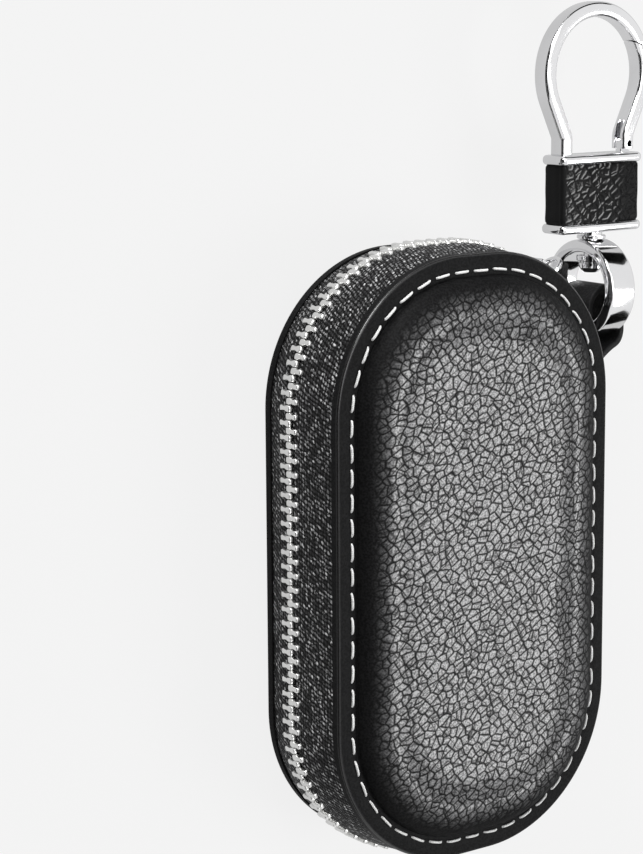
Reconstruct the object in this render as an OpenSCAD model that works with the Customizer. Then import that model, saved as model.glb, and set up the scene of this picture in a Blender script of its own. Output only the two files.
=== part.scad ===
// Zipped leather key case with a swivel snap clip.
// The case lies on its back panel: X runs across it, Y along it towards the clip, Z up through its thickness.
// The origin is the middle of the flat face of the back panel.

/* [Case] */
// Length of the case over its leather rims
case_len = 122; // [110:1:140]
// Width of the case over its leather rims
case_w = 69; // [64:1:76]
// Straight run between the corner arcs at each short end
end_flat = 8; // [4:1:12]
// Thickness from the outer face of one rim to the outer face of the other
rim_to_rim = 24; // [22:1:30]

/* [Padded panels] */
// Height of each padded panel above its rim
puff_h = 4.8; // [3:0.1:6]
// Width of the flat rim outside the padded panel
rim_w = 4.6; // [4:0.1:6]
// Width of the rounded shoulder of the padding
shoulder_w = 7.5; // [5:0.5:10]
// Rise of the padding from the shoulder to its flat middle
crown_h = 0.7; // [0.3:0.1:1.2]
// Width over which the crown rises
crown_run = 7; // [4:0.5:8]
// Thickness of the leather
leather_t = 1.2; // [0.8:0.1:1.6]
// Thickness of the stiffening board under each panel
board_t = 0.8; // [0.5:0.1:1.2]
// Thickness of the lining cloth
lining_t = 0.5; // [0.3:0.1:0.8]
// Thickness of the leather folded down over the edge of the board
fold_t = 0.8; // [0.5:0.1:1.2]

/* [Zip] */
// How far the middle of the zip stands out from the edge of the rims
zip_bulge = 0.4; // [0:0.1:1.5]
// How far the zip lies below the middle of the case's thickness
zip_drop = 2.2; // [0:0.1:3]
// How far the tapes start inside the edge of the rims
tape_inset = 0.8; // [0.5:0.1:1.5]
// Thickness of the woven tape
tape_t = 0.8; // [0.6:0.1:1]
// Distance from one tooth to the next on the same tape
tooth_pitch = 2.86; // [2.8:0.01:3.2]
// Thickness of a tooth along the zip
tooth_t = 1.1; // [0.9:0.05:1.2]
// Depth of a tooth through the tape
tooth_depth = 2.2; // [1.8:0.1:2.6]
// Width across both rows of teeth
chain_w = 5.2; // [4.8:0.1:6]
// How far each tooth reaches past the middle of the zip
tooth_reach = 0.75; // [0.5:0.05:0.9]
// Angle on the corner arc at which the zip ends and the spine begins
zip_end_a = 30; // [26:1:31]
// Angle on the corner arc up to which the zip ends stay sewn shut
sewn_a = 55; // [53:1:60]

/* [Zip slider] */
// Angle on the corner arc where the slider rests
slider_a = 41.5; // [41:0.5:43]
// Length of the slider along the zip
slider_len = 11; // [9:0.5:11.5]
// Width of the slider across the zip
slider_w = 8.4; // [7.6:0.2:9]
// Thickness of each slider plate
plate_t = 1; // [0.8:0.1:1.2]
// Width of the slider's bridge bar
bridge_w = 1; // [0.8:0.1:1.2]
// Diameter of the wire of the pull's link
link_wire_d = 1.1; // [0.8:0.1:1.2]
// Length of the pull tag
tag_len = 12; // [9:0.5:12.5]
// Width of the pull tag
tag_w = 4.4; // [4:0.2:6]
// Thickness of the pull tag
tag_t = 1; // [0.8:0.1:1.1]

/* [Leather tab] */
// Width of the leather tab that holds the ring
tab_w = 10; // [8:0.5:11]
// Thickness of one layer of the tab
tab_t = 1.3; // [1:0.1:1.5]
// How far the tab's loop stands off the side of the case
tab_stand = 1; // [0.6:0.1:3]
// Length of the tab's sewn tail along the spine
tab_tail = 12; // [10:0.5:16]
// Diameter of the tab's rivet shank
tab_rivet_d = 3; // [2:0.2:4]

/* [Swivel ring] */
// Height of the ring's centre above the centre of the corner arc
ring_rise = 19.5; // [19:0.5:22]
// Outer diameter of the ring
ring_od = 20.4; // [19.4:0.2:20.8]
// Radial thickness of the ring's band
ring_t = 2.6; // [2.2:0.1:3]
// Width of the ring's band
ring_w = 6.8; // [5:0.2:7.2]
// Diameter of the swivel post
post_d = 3; // [2.4:0.1:3.6]

/* [Snap clip] */
// Width of the clip's leather block
block_w = 21.4; // [20:0.2:24]
// Height of the leather sleeve of the block
block_len = 12.1; // [10:0.1:16]
// Thickness of the clip's leather block
block_t = 6; // [5.6:0.1:7]
// Height of each metal end rail of the block
rail_len = 2; // [1.6:0.1:3]
// How far the rails stand out past the leather
rail_lip = 0.6; // [0.3:0.1:1]
// Outer width of the snap loop
loop_w = 29.2; // [28:0.2:31]
// Height of the loop above the block
loop_len = 31; // [29:0.5:36]
// Width of the loop's bar, seen from the front
bar_w = 3.1; // [2.8:0.1:3.4]
// Depth of the loop's bar from front to back
bar_t = 4.2; // [3.8:0.1:5]
// Lean of the loop's legs
leg_lean = 25; // [22:1:27]
// Diameter of the gate's pin
gate_pin_d = 1.4; // [1:0.1:1.6]

/* [Key ring] */
// Outer diameter of the key ring inside the case
key_ring_od = 26; // [22:1:30]
// Width of the key ring's band
key_band_w = 2; // [1.6:0.1:2.4]
// Height of the key ring's two turns together
key_band_t = 2.2; // [1.8:0.1:2.4]
// Width of the leather strap that holds the key ring
strap_w = 10; // [8:0.5:12]
// Thickness of one layer of that strap
strap_t = 1.2; // [1:0.1:1.4]

/* [Hidden] */

// Smoothness of large arcs and of small round parts
$fn = 64;
small_fn = 32;
// Overrun of every cut
over = 1;
// Clearances: one layer on another, a running fit and a free gap between moving pieces
lay_gap = 0.1;
run_gap = 0.05;
free_gap = 0.4;
// Part of a quarter or half turn
quarter = 90;
half_turn = 180;

// Levels of each shell, counted outward from the middle of the thickness
corner_r = (case_w - end_flat) / 2;
corner_x = end_flat / 2;
corner_y = case_len / 2 - corner_r;
face_h = rim_to_rim / 2;
mid_z = puff_h + face_h;
board_top_h = face_h - leather_t;
board_low_h = board_top_h - board_t;
lining_low_h = board_low_h - lining_t;
board_inset = fold_t + lay_gap;
lining_inset = tape_inset + tape_t + lay_gap + zip_bulge;

// Padded panel
foot_r = corner_r - rim_w;
shoulder_h = puff_h - crown_h;
shoulder_r = foot_r - shoulder_w;
shoulder_steps = 8;
crown_steps = 3;
rim_round = 0.6;

// Zip
zip_z = mid_z - zip_drop;
zip_r = corner_r + zip_bulge;
tape_edge = 1.1;
tape_steps = 5;
tape_root_r = corner_r - tape_inset;
leg_reach = chain_w / 2;
quarter_len = zip_r * PI / 2;
end_arc_len = zip_r * (quarter - zip_end_a) * PI / half_turn;
side_len = 2 * corner_y;
zip_len = 2 * end_arc_len + 2 * end_flat + 2 * quarter_len + side_len;
sewn_len = zip_r * (sewn_a - zip_end_a) * PI / half_turn;
stop_len = 2.2;
tooth_count = floor((zip_len - 2 * stop_len) / tooth_pitch) - 1;
tooth_lead = (zip_len - (tooth_count + 1 / 2) * tooth_pitch) / 2;
spine_r = corner_r - lay_gap;
spine_low = mid_z - board_low_h;
spine_high = mid_z + board_low_h - free_gap;

// Slider
plate_gap = 0.25;
slider_half_a = slider_len / 2 / zip_r * half_turn / PI;
top_plate_low = zip_r + tooth_depth / 2 + plate_gap;
top_plate_top = top_plate_low + plate_t;
flange_drop = 0.9;
flange_w = 0.7;
under_plate_top = zip_r - tooth_depth / 2 - plate_gap;
bridge_gap = 1.5;
bridge_t = 0.8;
bridge_len = slider_len - 2 * plate_t;
link_in_r = 1.9;
link_mid_r = link_in_r + link_wire_d / 2;
link_r = top_plate_top + free_gap / 2 + link_in_r + link_wire_d;
link_drop = 0.2;
tag_hole_r = 1.1;
tag_head = 2.2;
tag_top = zip_z - link_drop - link_mid_r + tag_head;
tag_corner = 1.2;

// Leather tab and ring
tab_in = ring_w / 2 + free_gap;
tab_out = tab_in + tab_t;
clip_x = case_w / 2 + tab_stand + tab_out;
ring_y = corner_y + ring_rise;
ring_r = ring_od / 2;
ring_in_r = ring_r - ring_t;
fold_share = 0.526;
tab_fold_y = ring_y - fold_share * ring_in_r;
tab_low_y = ring_y - ring_r - free_gap;
tail_top_y = tab_low_y - 4 * tab_t;
tail_low_y = tail_top_y - tab_tail;
tail_x = case_w / 2;
tab_rivet_y = tail_low_y + tab_tail / 3;
rivet_head_t = 1;
ring_edge = 0.8;
post_r = post_d / 2;
post_head_r = 2 * post_r;
post_head_y = ring_y + sqrt(pow(ring_in_r, 2) - pow(post_head_r, 2)) - 2 * run_gap;
head_share = 0.47;
post_head_len = head_share * ring_in_r;
flange_t = 1.2;
groove_w = 0.35;
collar_len = 1.5;
collar_low_y = ring_y + ring_r + 2 * run_gap;

// Snap clip
block_low_y = collar_low_y + collar_len;
sleeve_low_y = block_low_y + rail_len;
sleeve_top_y = sleeve_low_y + block_len;
block_top_y = sleeve_top_y + rail_len;
sleeve_t = 1;
block_round = 1;
loop_r = loop_w / 2;
loop_mid_r = loop_r - bar_w / 2;
loop_y = block_top_y + loop_len - loop_r;
bar_round = 0.8;
foot_len = 3;
knee_r = 3;
leg_len = (loop_len - loop_r - foot_len - (loop_mid_r + knee_r) * sin(leg_lean)) / cos(leg_lean);
nose_low_a = 9.5;
nose_high_a = 26;
nose_slant = 20;
nose_spare_a = 10;
nose_low = loop_mid_r * sin(nose_low_a + nose_slant);
nose_high = loop_mid_r * sin(nose_high_a + nose_slant);
nose_gap = 0.25;
nose_step = 0.2;
gate_lift = 1.7;
gate_heel = 1;
gate_x = clip_x + loop_mid_r * cos(leg_lean) - leg_len * sin(leg_lean) - knee_r * (1 - cos(leg_lean));
gate_y = block_top_y + gate_lift;
fork_gap = 0.1;
lug_t = 1.6;
lug_r = 1.3;
gate_spring_t = 0.3;
gate_spring_len = 3.6;
spring_foot = sqrt(pow(lug_r, 2) - pow(lug_r - gate_spring_t, 2));

// Key ring and its strap
inner_low_z = mid_z - lining_low_h;
key_mid_r = key_ring_od / 2 - key_band_w / 2;
strap_slot = key_band_w / 2 + free_gap;
strap_eye_len = 2.6;
strap_fold_y = corner_y + strap_w / 4;
strap_z = inner_low_z + lay_gap + strap_t + strap_slot;
strap_tail = 14;
strap_rivet_y = strap_fold_y + strap_eye_len + strap_slot + strap_t + strap_tail / 2;
strap_rivet_r = 1.2;
key_y = strap_fold_y + strap_eye_len / 2 - key_mid_r;

leather_col = [0.07, 0.07, 0.07];
cloth_col = [0.05, 0.05, 0.06];
board_col = [0.45, 0.38, 0.28];
foam_col = [0.25, 0.25, 0.27];
chrome_col = [0.85, 0.86, 0.88];
teeth_col = [0.78, 0.78, 0.76];

// Sweeps of a profile round the case. A profile's X is the distance out from the middle of the corner arcs.

// One corner arc from angle a0 to a1
module arc_run(x, y, a0, a1) {
    translate([x, y, 0])
        rotate([0, 0, a0])
            rotate_extrude(angle = a1 - a0)
                children();
}

// One straight run from (x, y), with its outer side towards the angle a
module straight_run(x, y, a, run) {
    translate([x, y, 0])
        rotate([0, 0, a])
            translate([0, run, 0])
                rotate([quarter, 0, 0])
                    linear_extrude(run)
                        children();
}

// The left half of the outline, from the top flat to the bottom flat
module left_run() {
    straight_run(corner_x, corner_y, quarter, end_flat) children();
    arc_run(-corner_x, corner_y, quarter, half_turn) children();
    straight_run(-corner_x, corner_y, half_turn, side_len) children();
    arc_run(-corner_x, -corner_y, half_turn, half_turn + quarter) children();
    straight_run(-corner_x, -corner_y, half_turn + quarter, end_flat) children();
}

// Both right corner arcs, from the long side up to an angle
module side_arcs(a) {
    for (m = [0, 1])
        mirror([0, m, 0])
            arc_run(corner_x, corner_y, 0, a) children();
}

// Both right corner arcs, from an angle to the short ends
module end_arcs(a) {
    for (m = [0, 1])
        mirror([0, m, 0])
            arc_run(corner_x, -corner_y, half_turn + quarter, 2 * half_turn - a) children();
}

// The whole outline
module full_run() {
    left_run() children();
    side_arcs(quarter) children();
    straight_run(corner_x, -corner_y, 0, side_len) children();
}

// Flat plate with the outline of the case, drawn in by an inset
module outline_plate(inset, t) {
    r = corner_r - inset;
    linear_extrude(t)
        union() {
            for (x = [-corner_x, corner_x])
                for (y = [-corner_y, corner_y])
                    translate([x, y])
                        circle(r);
            square([2 * (corner_x + r), side_len], center = true);
            square([end_flat, 2 * (corner_y + r)], center = true);
        }
}

// Places a shell built outward from the middle of the case as the front or the back one
module as_front() {
    translate([0, 0, mid_z])
        children();
}
module as_back() {
    translate([0, 0, mid_z])
        mirror([0, 0, 1])
            children();
}

// Padded panel

// Curve of the padding from its foot to its flat middle, lowered and drawn in by a thickness
function padding_curve(t) = concat(
    [for (k = [0:shoulder_steps])
        [foot_r - t - shoulder_w * (1 - cos(quarter * k / shoulder_steps)),
         face_h - t + shoulder_h * sin(quarter * k / shoulder_steps)]],
    [for (k = [1:crown_steps])
        [shoulder_r - t - crown_run * k / crown_steps,
         face_h - t + shoulder_h + crown_h * sin(quarter * k / crown_steps)]],
    [[0, face_h - t + puff_h]]);

// Leather skin of one shell: flat rim, folded edge and raised panel
module leather_profile() {
    outer = padding_curve(0);
    inner = padding_curve(leather_t);
    polygon(concat(
        [[corner_r, board_low_h], [corner_r, face_h - rim_round], [corner_r - rim_round / 4, face_h - rim_round / 4],
         [corner_r - rim_round, face_h]],
        outer,
        [for (k = [len(inner) - 1:-1:0]) inner[k]],
        [[corner_r - fold_t, board_top_h], [corner_r - fold_t, board_low_h]]));
}
module padding_profile() {
    curve = padding_curve(leather_t + lay_gap);
    low = board_top_h + lay_gap;
    polygon(concat([[curve[0][0], low]], [for (k = [1:len(curve) - 1]) curve[k]], [[0, low]]));
}

// The block between the corner centres, of the profile's height in the middle
module middle_block(low, high) {
    translate([-corner_x, -corner_y, low])
        cube([end_flat, side_len, high - low]);
}
module shell_leather() {
    full_run() leather_profile();
    middle_block(face_h + puff_h - leather_t, face_h + puff_h);
}
module shell_padding() {
    full_run() padding_profile();
    middle_block(board_top_h + lay_gap, face_h + puff_h - leather_t - lay_gap);
}
module shell_board() {
    translate([0, 0, board_low_h])
        outline_plate(board_inset, board_t);
}
module shell_lining() {
    translate([0, 0, lining_low_h])
        outline_plate(lining_inset, lining_t);
}

module back_leather() {
    color(leather_col)
        as_back() shell_leather();
}
module back_padding() {
    color(foam_col)
        as_back() shell_padding();
}
module back_board() {
    color(board_col)
        difference() {
            as_back() shell_board();
            strap_rivet_hole();
        }
}
module back_lining() {
    color(cloth_col)
        difference() {
            as_back() shell_lining();
            strap_rivet_hole();
        }
}
module front_leather() {
    color(leather_col)
        as_front() shell_leather();
}
module front_padding() {
    color(foam_col)
        as_front() shell_padding();
}
module front_board() {
    color(board_col)
        as_front() shell_board();
}
module front_lining() {
    color(cloth_col)
        as_front() shell_lining();
}

// Zip tapes: from a root under the rim to the toothed edge, bulging out on the way
module tape_profile(root_z, edge_z) {
    mid = [for (k = [0:tape_steps])
        [tape_root_r + (zip_r - tape_root_r) * sin(quarter * k / tape_steps),
         root_z + (edge_z - root_z) * k / tape_steps]];
    polygon(concat(
        [for (p = mid) [p[0] + tape_t / 2, p[1]]],
        [for (k = [tape_steps:-1:0]) [mid[k][0] - tape_t / 2, mid[k][1]]]));
}
module back_tape_profile() {
    tape_profile(mid_z - board_low_h, zip_z - tape_edge);
}
module front_tape_profile(root_gap) {
    tape_profile(mid_z + board_low_h - root_gap, zip_z + tape_edge);
}
module back_tape() {
    color(cloth_col) {
        left_run() back_tape_profile();
        end_arcs(zip_end_a) back_tape_profile();
    }
}
module front_tape() {
    color(cloth_col) {
        left_run() front_tape_profile(0);
        end_arcs(sewn_a) front_tape_profile(0);
    }
}
module zip_end_tapes() {
    split_a = free_gap / 2 / zip_r * half_turn / PI;
    color(cloth_col)
        for (m = [0, 1])
            mirror([0, m, 0])
                arc_run(corner_x, corner_y, zip_end_a, sewn_a - split_a) front_tape_profile(free_gap);
}

// Place along the zip, s from its top end: [x, y, direction of its outer side]
function zip_corner(x, y, a) = [x + zip_r * cos(a), y + zip_r * sin(a), a];
function arc_a(s) = s / zip_r * half_turn / PI;
s_top = end_arc_len;
s_left = s_top + end_flat;
s_side = s_left + quarter_len;
s_low = s_side + side_len;
s_base = s_low + quarter_len;
s_right = s_base + end_flat;
function zip_at(s) =
    s < s_top ? zip_corner(corner_x, corner_y, zip_end_a + arc_a(s)) :
    s < s_left ? [corner_x - (s - s_top), corner_y + zip_r, quarter] :
    s < s_side ? zip_corner(-corner_x, corner_y, quarter + arc_a(s - s_left)) :
    s < s_low ? [-corner_x - zip_r, corner_y - (s - s_side), half_turn] :
    s < s_base ? zip_corner(-corner_x, -corner_y, half_turn + arc_a(s - s_low)) :
    s < s_right ? [-corner_x + (s - s_base), -corner_y - zip_r, half_turn + quarter] :
    zip_corner(corner_x, -corner_y, half_turn + quarter + arc_a(s - s_right));

// One tooth, its head towards Z 0 and past it, drawn about the zip's line
module tooth() {
    neck_share = 0.8;
    translate([-tooth_depth / 2, 0, 0])
        rotate([quarter, 0, quarter])
            linear_extrude(tooth_depth)
                union() {
                    translate([-tooth_t / 2, tape_edge / 2])
                        square([tooth_t, leg_reach - tape_edge / 2]);
                    translate([-tooth_t * neck_share / 2, -tooth_reach + tooth_t / 2])
                        square([tooth_t * neck_share, tooth_reach + tape_edge - tooth_t / 2]);
                    translate([0, -tooth_reach + tooth_t / 2])
                        circle(tooth_t / 2, $fn = small_fn);
                }
}
module tooth_at(s, up) {
    place = zip_at(s);
    translate([place[0], place[1], zip_z])
        rotate([0, 0, place[2]])
            mirror([0, 0, up ? 0 : 1])
                tooth();
}
function back_s(k) = tooth_lead + k * tooth_pitch;
function front_s(k) = back_s(k) + tooth_pitch / 2;
function is_sewn(s) = s < sewn_len || s > zip_len - sewn_len;
module back_teeth() {
    color(teeth_col)
        for (k = [0:tooth_count - 1])
            tooth_at(back_s(k), false);
}
module front_teeth() {
    color(teeth_col)
        for (k = [0:tooth_count - 1])
            if (!is_sewn(front_s(k)))
                tooth_at(front_s(k), true);
}
module zip_end_teeth() {
    color(teeth_col)
        for (k = [0:tooth_count - 1])
            if (is_sewn(front_s(k)))
                tooth_at(front_s(k), true);
}
module stop_block(s, w, z) {
    place = zip_at(s);
    translate([place[0], place[1], z])
        rotate([0, 0, place[2]])
            cube([tooth_depth, tooth_t, w], center = true);
}
module top_stops() {
    stop_w = leg_reach - run_gap;
    color(teeth_col)
        for (side = [-1, 1])
            stop_block(tooth_lead - stop_len, stop_w, zip_z + side * (leg_reach + run_gap) / 2);
}
module bottom_stop() {
    color(teeth_col)
        stop_block(zip_len - tooth_lead + stop_len, chain_w, zip_z);
}

// Leather spine on the side where the zip stops
module spine_profile() {
    translate([spine_r - leather_t, spine_low])
        square([leather_t, spine_high - spine_low]);
}
module spine() {
    gap_a = lay_gap / corner_r * half_turn / PI;
    color(leather_col)
        difference() {
            union() {
                straight_run(corner_x, -corner_y, 0, side_len) spine_profile();
                side_arcs(zip_end_a - gap_a) spine_profile();
            }
            tab_rivet_hole();
        }
}

// Slider, drawn about its own place on the corner arc
module slider_arc(low, high, half_w) {
    translate([corner_x, corner_y, zip_z])
        rotate([0, 0, slider_a - slider_half_a])
            rotate_extrude(angle = 2 * slider_half_a)
                translate([low, -half_w])
                    square([high - low, 2 * half_w]);
}
module slider_top_plate() {
    color(chrome_col)
        difference() {
            slider_arc(top_plate_low - flange_drop, top_plate_top, slider_w / 2);
            translate([corner_x, corner_y, zip_z])
                rotate([0, 0, slider_a - slider_half_a - over])
                    rotate_extrude(angle = 2 * (slider_half_a + over))
                        translate([corner_r - over, -slider_w / 2 + flange_w])
                            square([top_plate_low - corner_r + over, slider_w - 2 * flange_w]);
        }
}
module slider_under_plate() {
    color(chrome_col)
        slider_arc(under_plate_top - plate_t, under_plate_top, slider_w / 2);
}

// Moves pieces drawn with X outward and Y along the zip to the slider's place
module at_slider() {
    translate([corner_x, corner_y, zip_z])
        rotate([0, 0, slider_a])
            children();
}
module slider_bridge() {
    foot_sag = top_plate_top * (1 - cos(slider_half_a));
    color(chrome_col)
        at_slider()
            difference() {
                translate([top_plate_top - foot_sag, -bridge_len / 2, -bridge_w / 2])
                    cube([foot_sag + bridge_gap + bridge_t, bridge_len, bridge_w]);
                translate([top_plate_top - foot_sag - over, -bridge_len / 2 + plate_t, -bridge_w / 2 - over])
                    cube([foot_sag + bridge_gap + over, bridge_len - 2 * plate_t, bridge_w + 2 * over]);
                translate([0, 0, -bridge_w / 2 - over])
                    cylinder(r = top_plate_top, h = bridge_w + 2 * over, $fn = 4 * $fn);
            }
}
module pull_link() {
    color(chrome_col)
        at_slider()
            translate([link_r, 0, -link_drop])
                rotate([quarter, 0, 0])
                    rotate_extrude()
                        translate([link_mid_r, 0])
                            circle(d = link_wire_d, $fn = small_fn);
}
module pull_tag() {
    body_len = tag_len - 2 * tag_corner;
    color(chrome_col)
        at_slider()
            translate([link_r - tag_t / 2, 0, tag_top - zip_z])
                rotate([0, quarter, 0])
                    linear_extrude(tag_t)
                        difference() {
                            union() {
                                for (x = [tag_corner, tag_len - tag_corner])
                                    for (y = [-1, 1])
                                        translate([x, y * (tag_w / 2 - tag_corner)])
                                            circle(tag_corner, $fn = small_fn);
                                translate([tag_corner, -tag_w / 2])
                                    square([body_len, tag_w]);
                                translate([0, -tag_w / 2 + tag_corner])
                                    square([tag_len, tag_w - 2 * tag_corner]);
                            }
                            translate([tag_head, 0])
                                circle(tag_hole_r, $fn = small_fn);
                        }
}

// Leather tab: a folded strip that holds the ring and is riveted to the spine
module tab_rivet_hole() {
    translate([tail_x - leather_t - over, tab_rivet_y, mid_z])
        rotate([0, quarter, 0])
            cylinder(d = tab_rivet_d, h = 2 * tab_t + leather_t + 2 * over, $fn = small_fn);
}
module leather_tab() {
    tail_in = tail_x - clip_x + lay_gap / 2;
    tail_out = tail_in + 2 * tab_t;
    color(leather_col)
        difference() {
            translate([clip_x, 0, mid_z - tab_w / 2])
                linear_extrude(tab_w)
                    difference() {
                        union() {
                            translate([0, tab_fold_y])
                                circle(tab_out);
                            polygon([
                                [tab_out, tab_fold_y],
                                [-tab_out, tab_fold_y],
                                [-tab_out, tab_low_y - tab_t],
                                [tail_in, tail_top_y],
                                [tail_in, tail_low_y],
                                [tail_out, tail_low_y],
                                [tail_out, tail_top_y - tab_t],
                                [tab_in - tab_t, tab_low_y - 1.5 * tab_t],
                                [tab_out, tab_low_y]]);
                        }
                        translate([0, tab_fold_y])
                            circle(tab_in);
                        polygon([
                            [tab_in, tab_fold_y],
                            [-tab_in, tab_fold_y],
                            [-tab_in, tab_low_y],
                            [tab_in - tab_t, tab_low_y],
                            [tab_in, tab_low_y + tab_t / 2]]);
                    }
            tab_rivet_hole();
        }
}
module tab_rivet() {
    color(chrome_col)
        translate([tail_x - leather_t - 2 * lay_gap - rivet_head_t, tab_rivet_y, mid_z])
            rotate([0, quarter, 0]) {
                cylinder(d = 2 * tab_rivet_d, h = rivet_head_t, $fn = small_fn);
                cylinder(d = tab_rivet_d, h = 2 * rivet_head_t + leather_t + 3 * lay_gap + 2 * tab_t, $fn = small_fn);
                translate([0, 0, rivet_head_t + leather_t + 3 * lay_gap + 2 * tab_t])
                    cylinder(d = 2 * tab_rivet_d, h = rivet_head_t, $fn = small_fn);
            }
}

// Ring with a rounded band, lying across the line of the clip, with a hole for the swivel post
module swivel_ring() {
    color(chrome_col)
        difference() {
            translate([clip_x, ring_y, mid_z])
                rotate([0, quarter, 0])
                    rotate_extrude()
                        polygon([
                            [ring_in_r, -ring_w / 2 + ring_edge],
                            [ring_in_r + ring_edge / 3, -ring_w / 2 + ring_edge / 3],
                            [ring_in_r + ring_edge, -ring_w / 2],
                            [ring_r - ring_edge, -ring_w / 2],
                            [ring_r - ring_edge / 3, -ring_w / 2 + ring_edge / 3],
                            [ring_r, -ring_w / 2 + ring_edge],
                            [ring_r, ring_w / 2 - ring_edge],
                            [ring_r - ring_edge / 3, ring_w / 2 - ring_edge / 3],
                            [ring_r - ring_edge, ring_w / 2],
                            [ring_in_r + ring_edge, ring_w / 2],
                            [ring_in_r + ring_edge / 3, ring_w / 2 - ring_edge / 3],
                            [ring_in_r, ring_w / 2 - ring_edge]]);
            along_clip(ring_y)
                cylinder(r = post_r + run_gap, h = ring_r + over, $fn = small_fn);
        }
}

// Turns Z along the clip's line, starting at a height y
module along_clip(y) {
    translate([clip_x, y, mid_z])
        rotate([-quarter, 0, 0])
            children();
}
module swivel_post() {
    head_low_y = post_head_y - post_head_len;
    color(chrome_col)
        along_clip(head_low_y)
            rotate_extrude()
                polygon([
                    [0, 0],
                    [post_r, 0],
                    [post_head_r - 2 * groove_w, post_head_len / 4],
                    [post_head_r - groove_w, post_head_len - flange_t - groove_w],
                    [post_head_r - 2 * groove_w, post_head_len - flange_t],
                    [post_head_r, post_head_len - flange_t],
                    [post_head_r, post_head_len],
                    [post_r, post_head_len],
                    [post_r, sleeve_low_y + 2 * rail_len - head_low_y],
                    [0, sleeve_low_y + 2 * rail_len - head_low_y]]);
}
module swivel_collar() {
    color(chrome_col)
        along_clip(collar_low_y)
            difference() {
                union() {
                    cylinder(r = post_head_r, h = collar_len / 2, $fn = small_fn);
                    cylinder(r = post_head_r * 3 / 4, h = collar_len, $fn = small_fn);
                }
                translate([0, 0, -over])
                    cylinder(r = post_r, h = collar_len + 2 * over, $fn = small_fn);
            }
}

// Plate across the clip with rounded front and back corners, from y for a length
module clip_plate(y, run, grow) {
    w = block_w + 2 * grow;
    t = block_t + 2 * grow;
    along_clip(y)
        linear_extrude(run)
            union() {
                for (x = [-1, 1])
                    for (z = [-1, 1])
                        translate([x * (w / 2 - block_round - grow), z * (t / 2 - block_round - grow)])
                            circle(block_round + grow, $fn = small_fn);
                square([w, t - 2 * (block_round + grow)], center = true);
                square([w - 2 * (block_round + grow), t], center = true);
            }
}
module post_hole(y, run) {
    along_clip(y)
        cylinder(r = post_r, h = run, $fn = small_fn);
}
module bottom_rail() {
    color(chrome_col)
        difference() {
            clip_plate(block_low_y, rail_len, rail_lip);
            post_hole(block_low_y - over, rail_len + 2 * over);
        }
}
module top_rail() {
    color(chrome_col) {
        clip_plate(sleeve_top_y, rail_len, rail_lip);
        gate_lug();
    }
}
module clip_core() {
    color(chrome_col)
        difference() {
            clip_plate(sleeve_low_y, block_len, -sleeve_t + run_gap);
            post_hole(sleeve_low_y - over, 2 * rail_len + over + run_gap);
        }
}
module clip_leather() {
    color(leather_col)
        difference() {
            clip_plate(sleeve_low_y, block_len, 0);
            clip_plate(sleeve_low_y - over, block_len + 2 * over, -sleeve_t + 2 * run_gap);
        }
}

// Snap loop and gate
module bar_profile() {
    half_w = bar_w / 2;
    half_t = bar_t / 2;
    union() {
        for (x = [-1, 1])
            for (z = [-1, 1])
                translate([x * (half_w - bar_round), z * (half_t - bar_round)])
                    circle(bar_round, $fn = small_fn);
        square([bar_w, bar_t - 2 * bar_round], center = true);
        square([bar_w - 2 * bar_round, bar_t], center = true);
    }
}
// One side of the bar: an arc from the leaning leg upward, the leg, a soft knee and an upright foot
module bar_side(arc_a, foot) {
    translate([0, loop_y, mid_z])
        rotate([0, 0, -leg_lean]) {
            rotate_extrude(angle = arc_a)
                translate([loop_mid_r, 0])
                    bar_profile();
            translate([loop_mid_r, 0, 0])
                rotate([quarter, 0, 0])
                    linear_extrude(leg_len)
                        bar_profile();
            translate([loop_mid_r + knee_r, -leg_len, 0])
                rotate([0, 0, half_turn]) {
                    rotate_extrude(angle = leg_lean)
                        translate([knee_r, 0])
                            bar_profile();
                    rotate([0, 0, leg_lean])
                        translate([knee_r, 0, 0])
                            rotate([-quarter, 0, 0])
                                linear_extrude(foot)
                                    bar_profile();
                }
        }
}

// Slab across the bar between two heights, parallel to the nose's faces, which rise inwards
module nose_slab(low, high) {
    rotate([0, 0, -nose_slant])
        translate([0, low, -bar_t])
            cube([loop_r + over, high - low, 2 * bar_t]);
}
module snap_loop() {
    color(chrome_col)
        translate([clip_x, 0, 0])
            difference() {
                mirror([1, 0, 0])
                    bar_side(half_turn + leg_lean - nose_low_a + nose_spare_a, foot_len);
                translate([0, loop_y, mid_z]) {
                    nose_slab(0, nose_low);
                    intersection() {
                        nose_slab(0, nose_high);
                        cylinder(r = loop_mid_r + nose_step / 2, h = 2 * bar_t, center = true);
                    }
                }
            }
}

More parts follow.
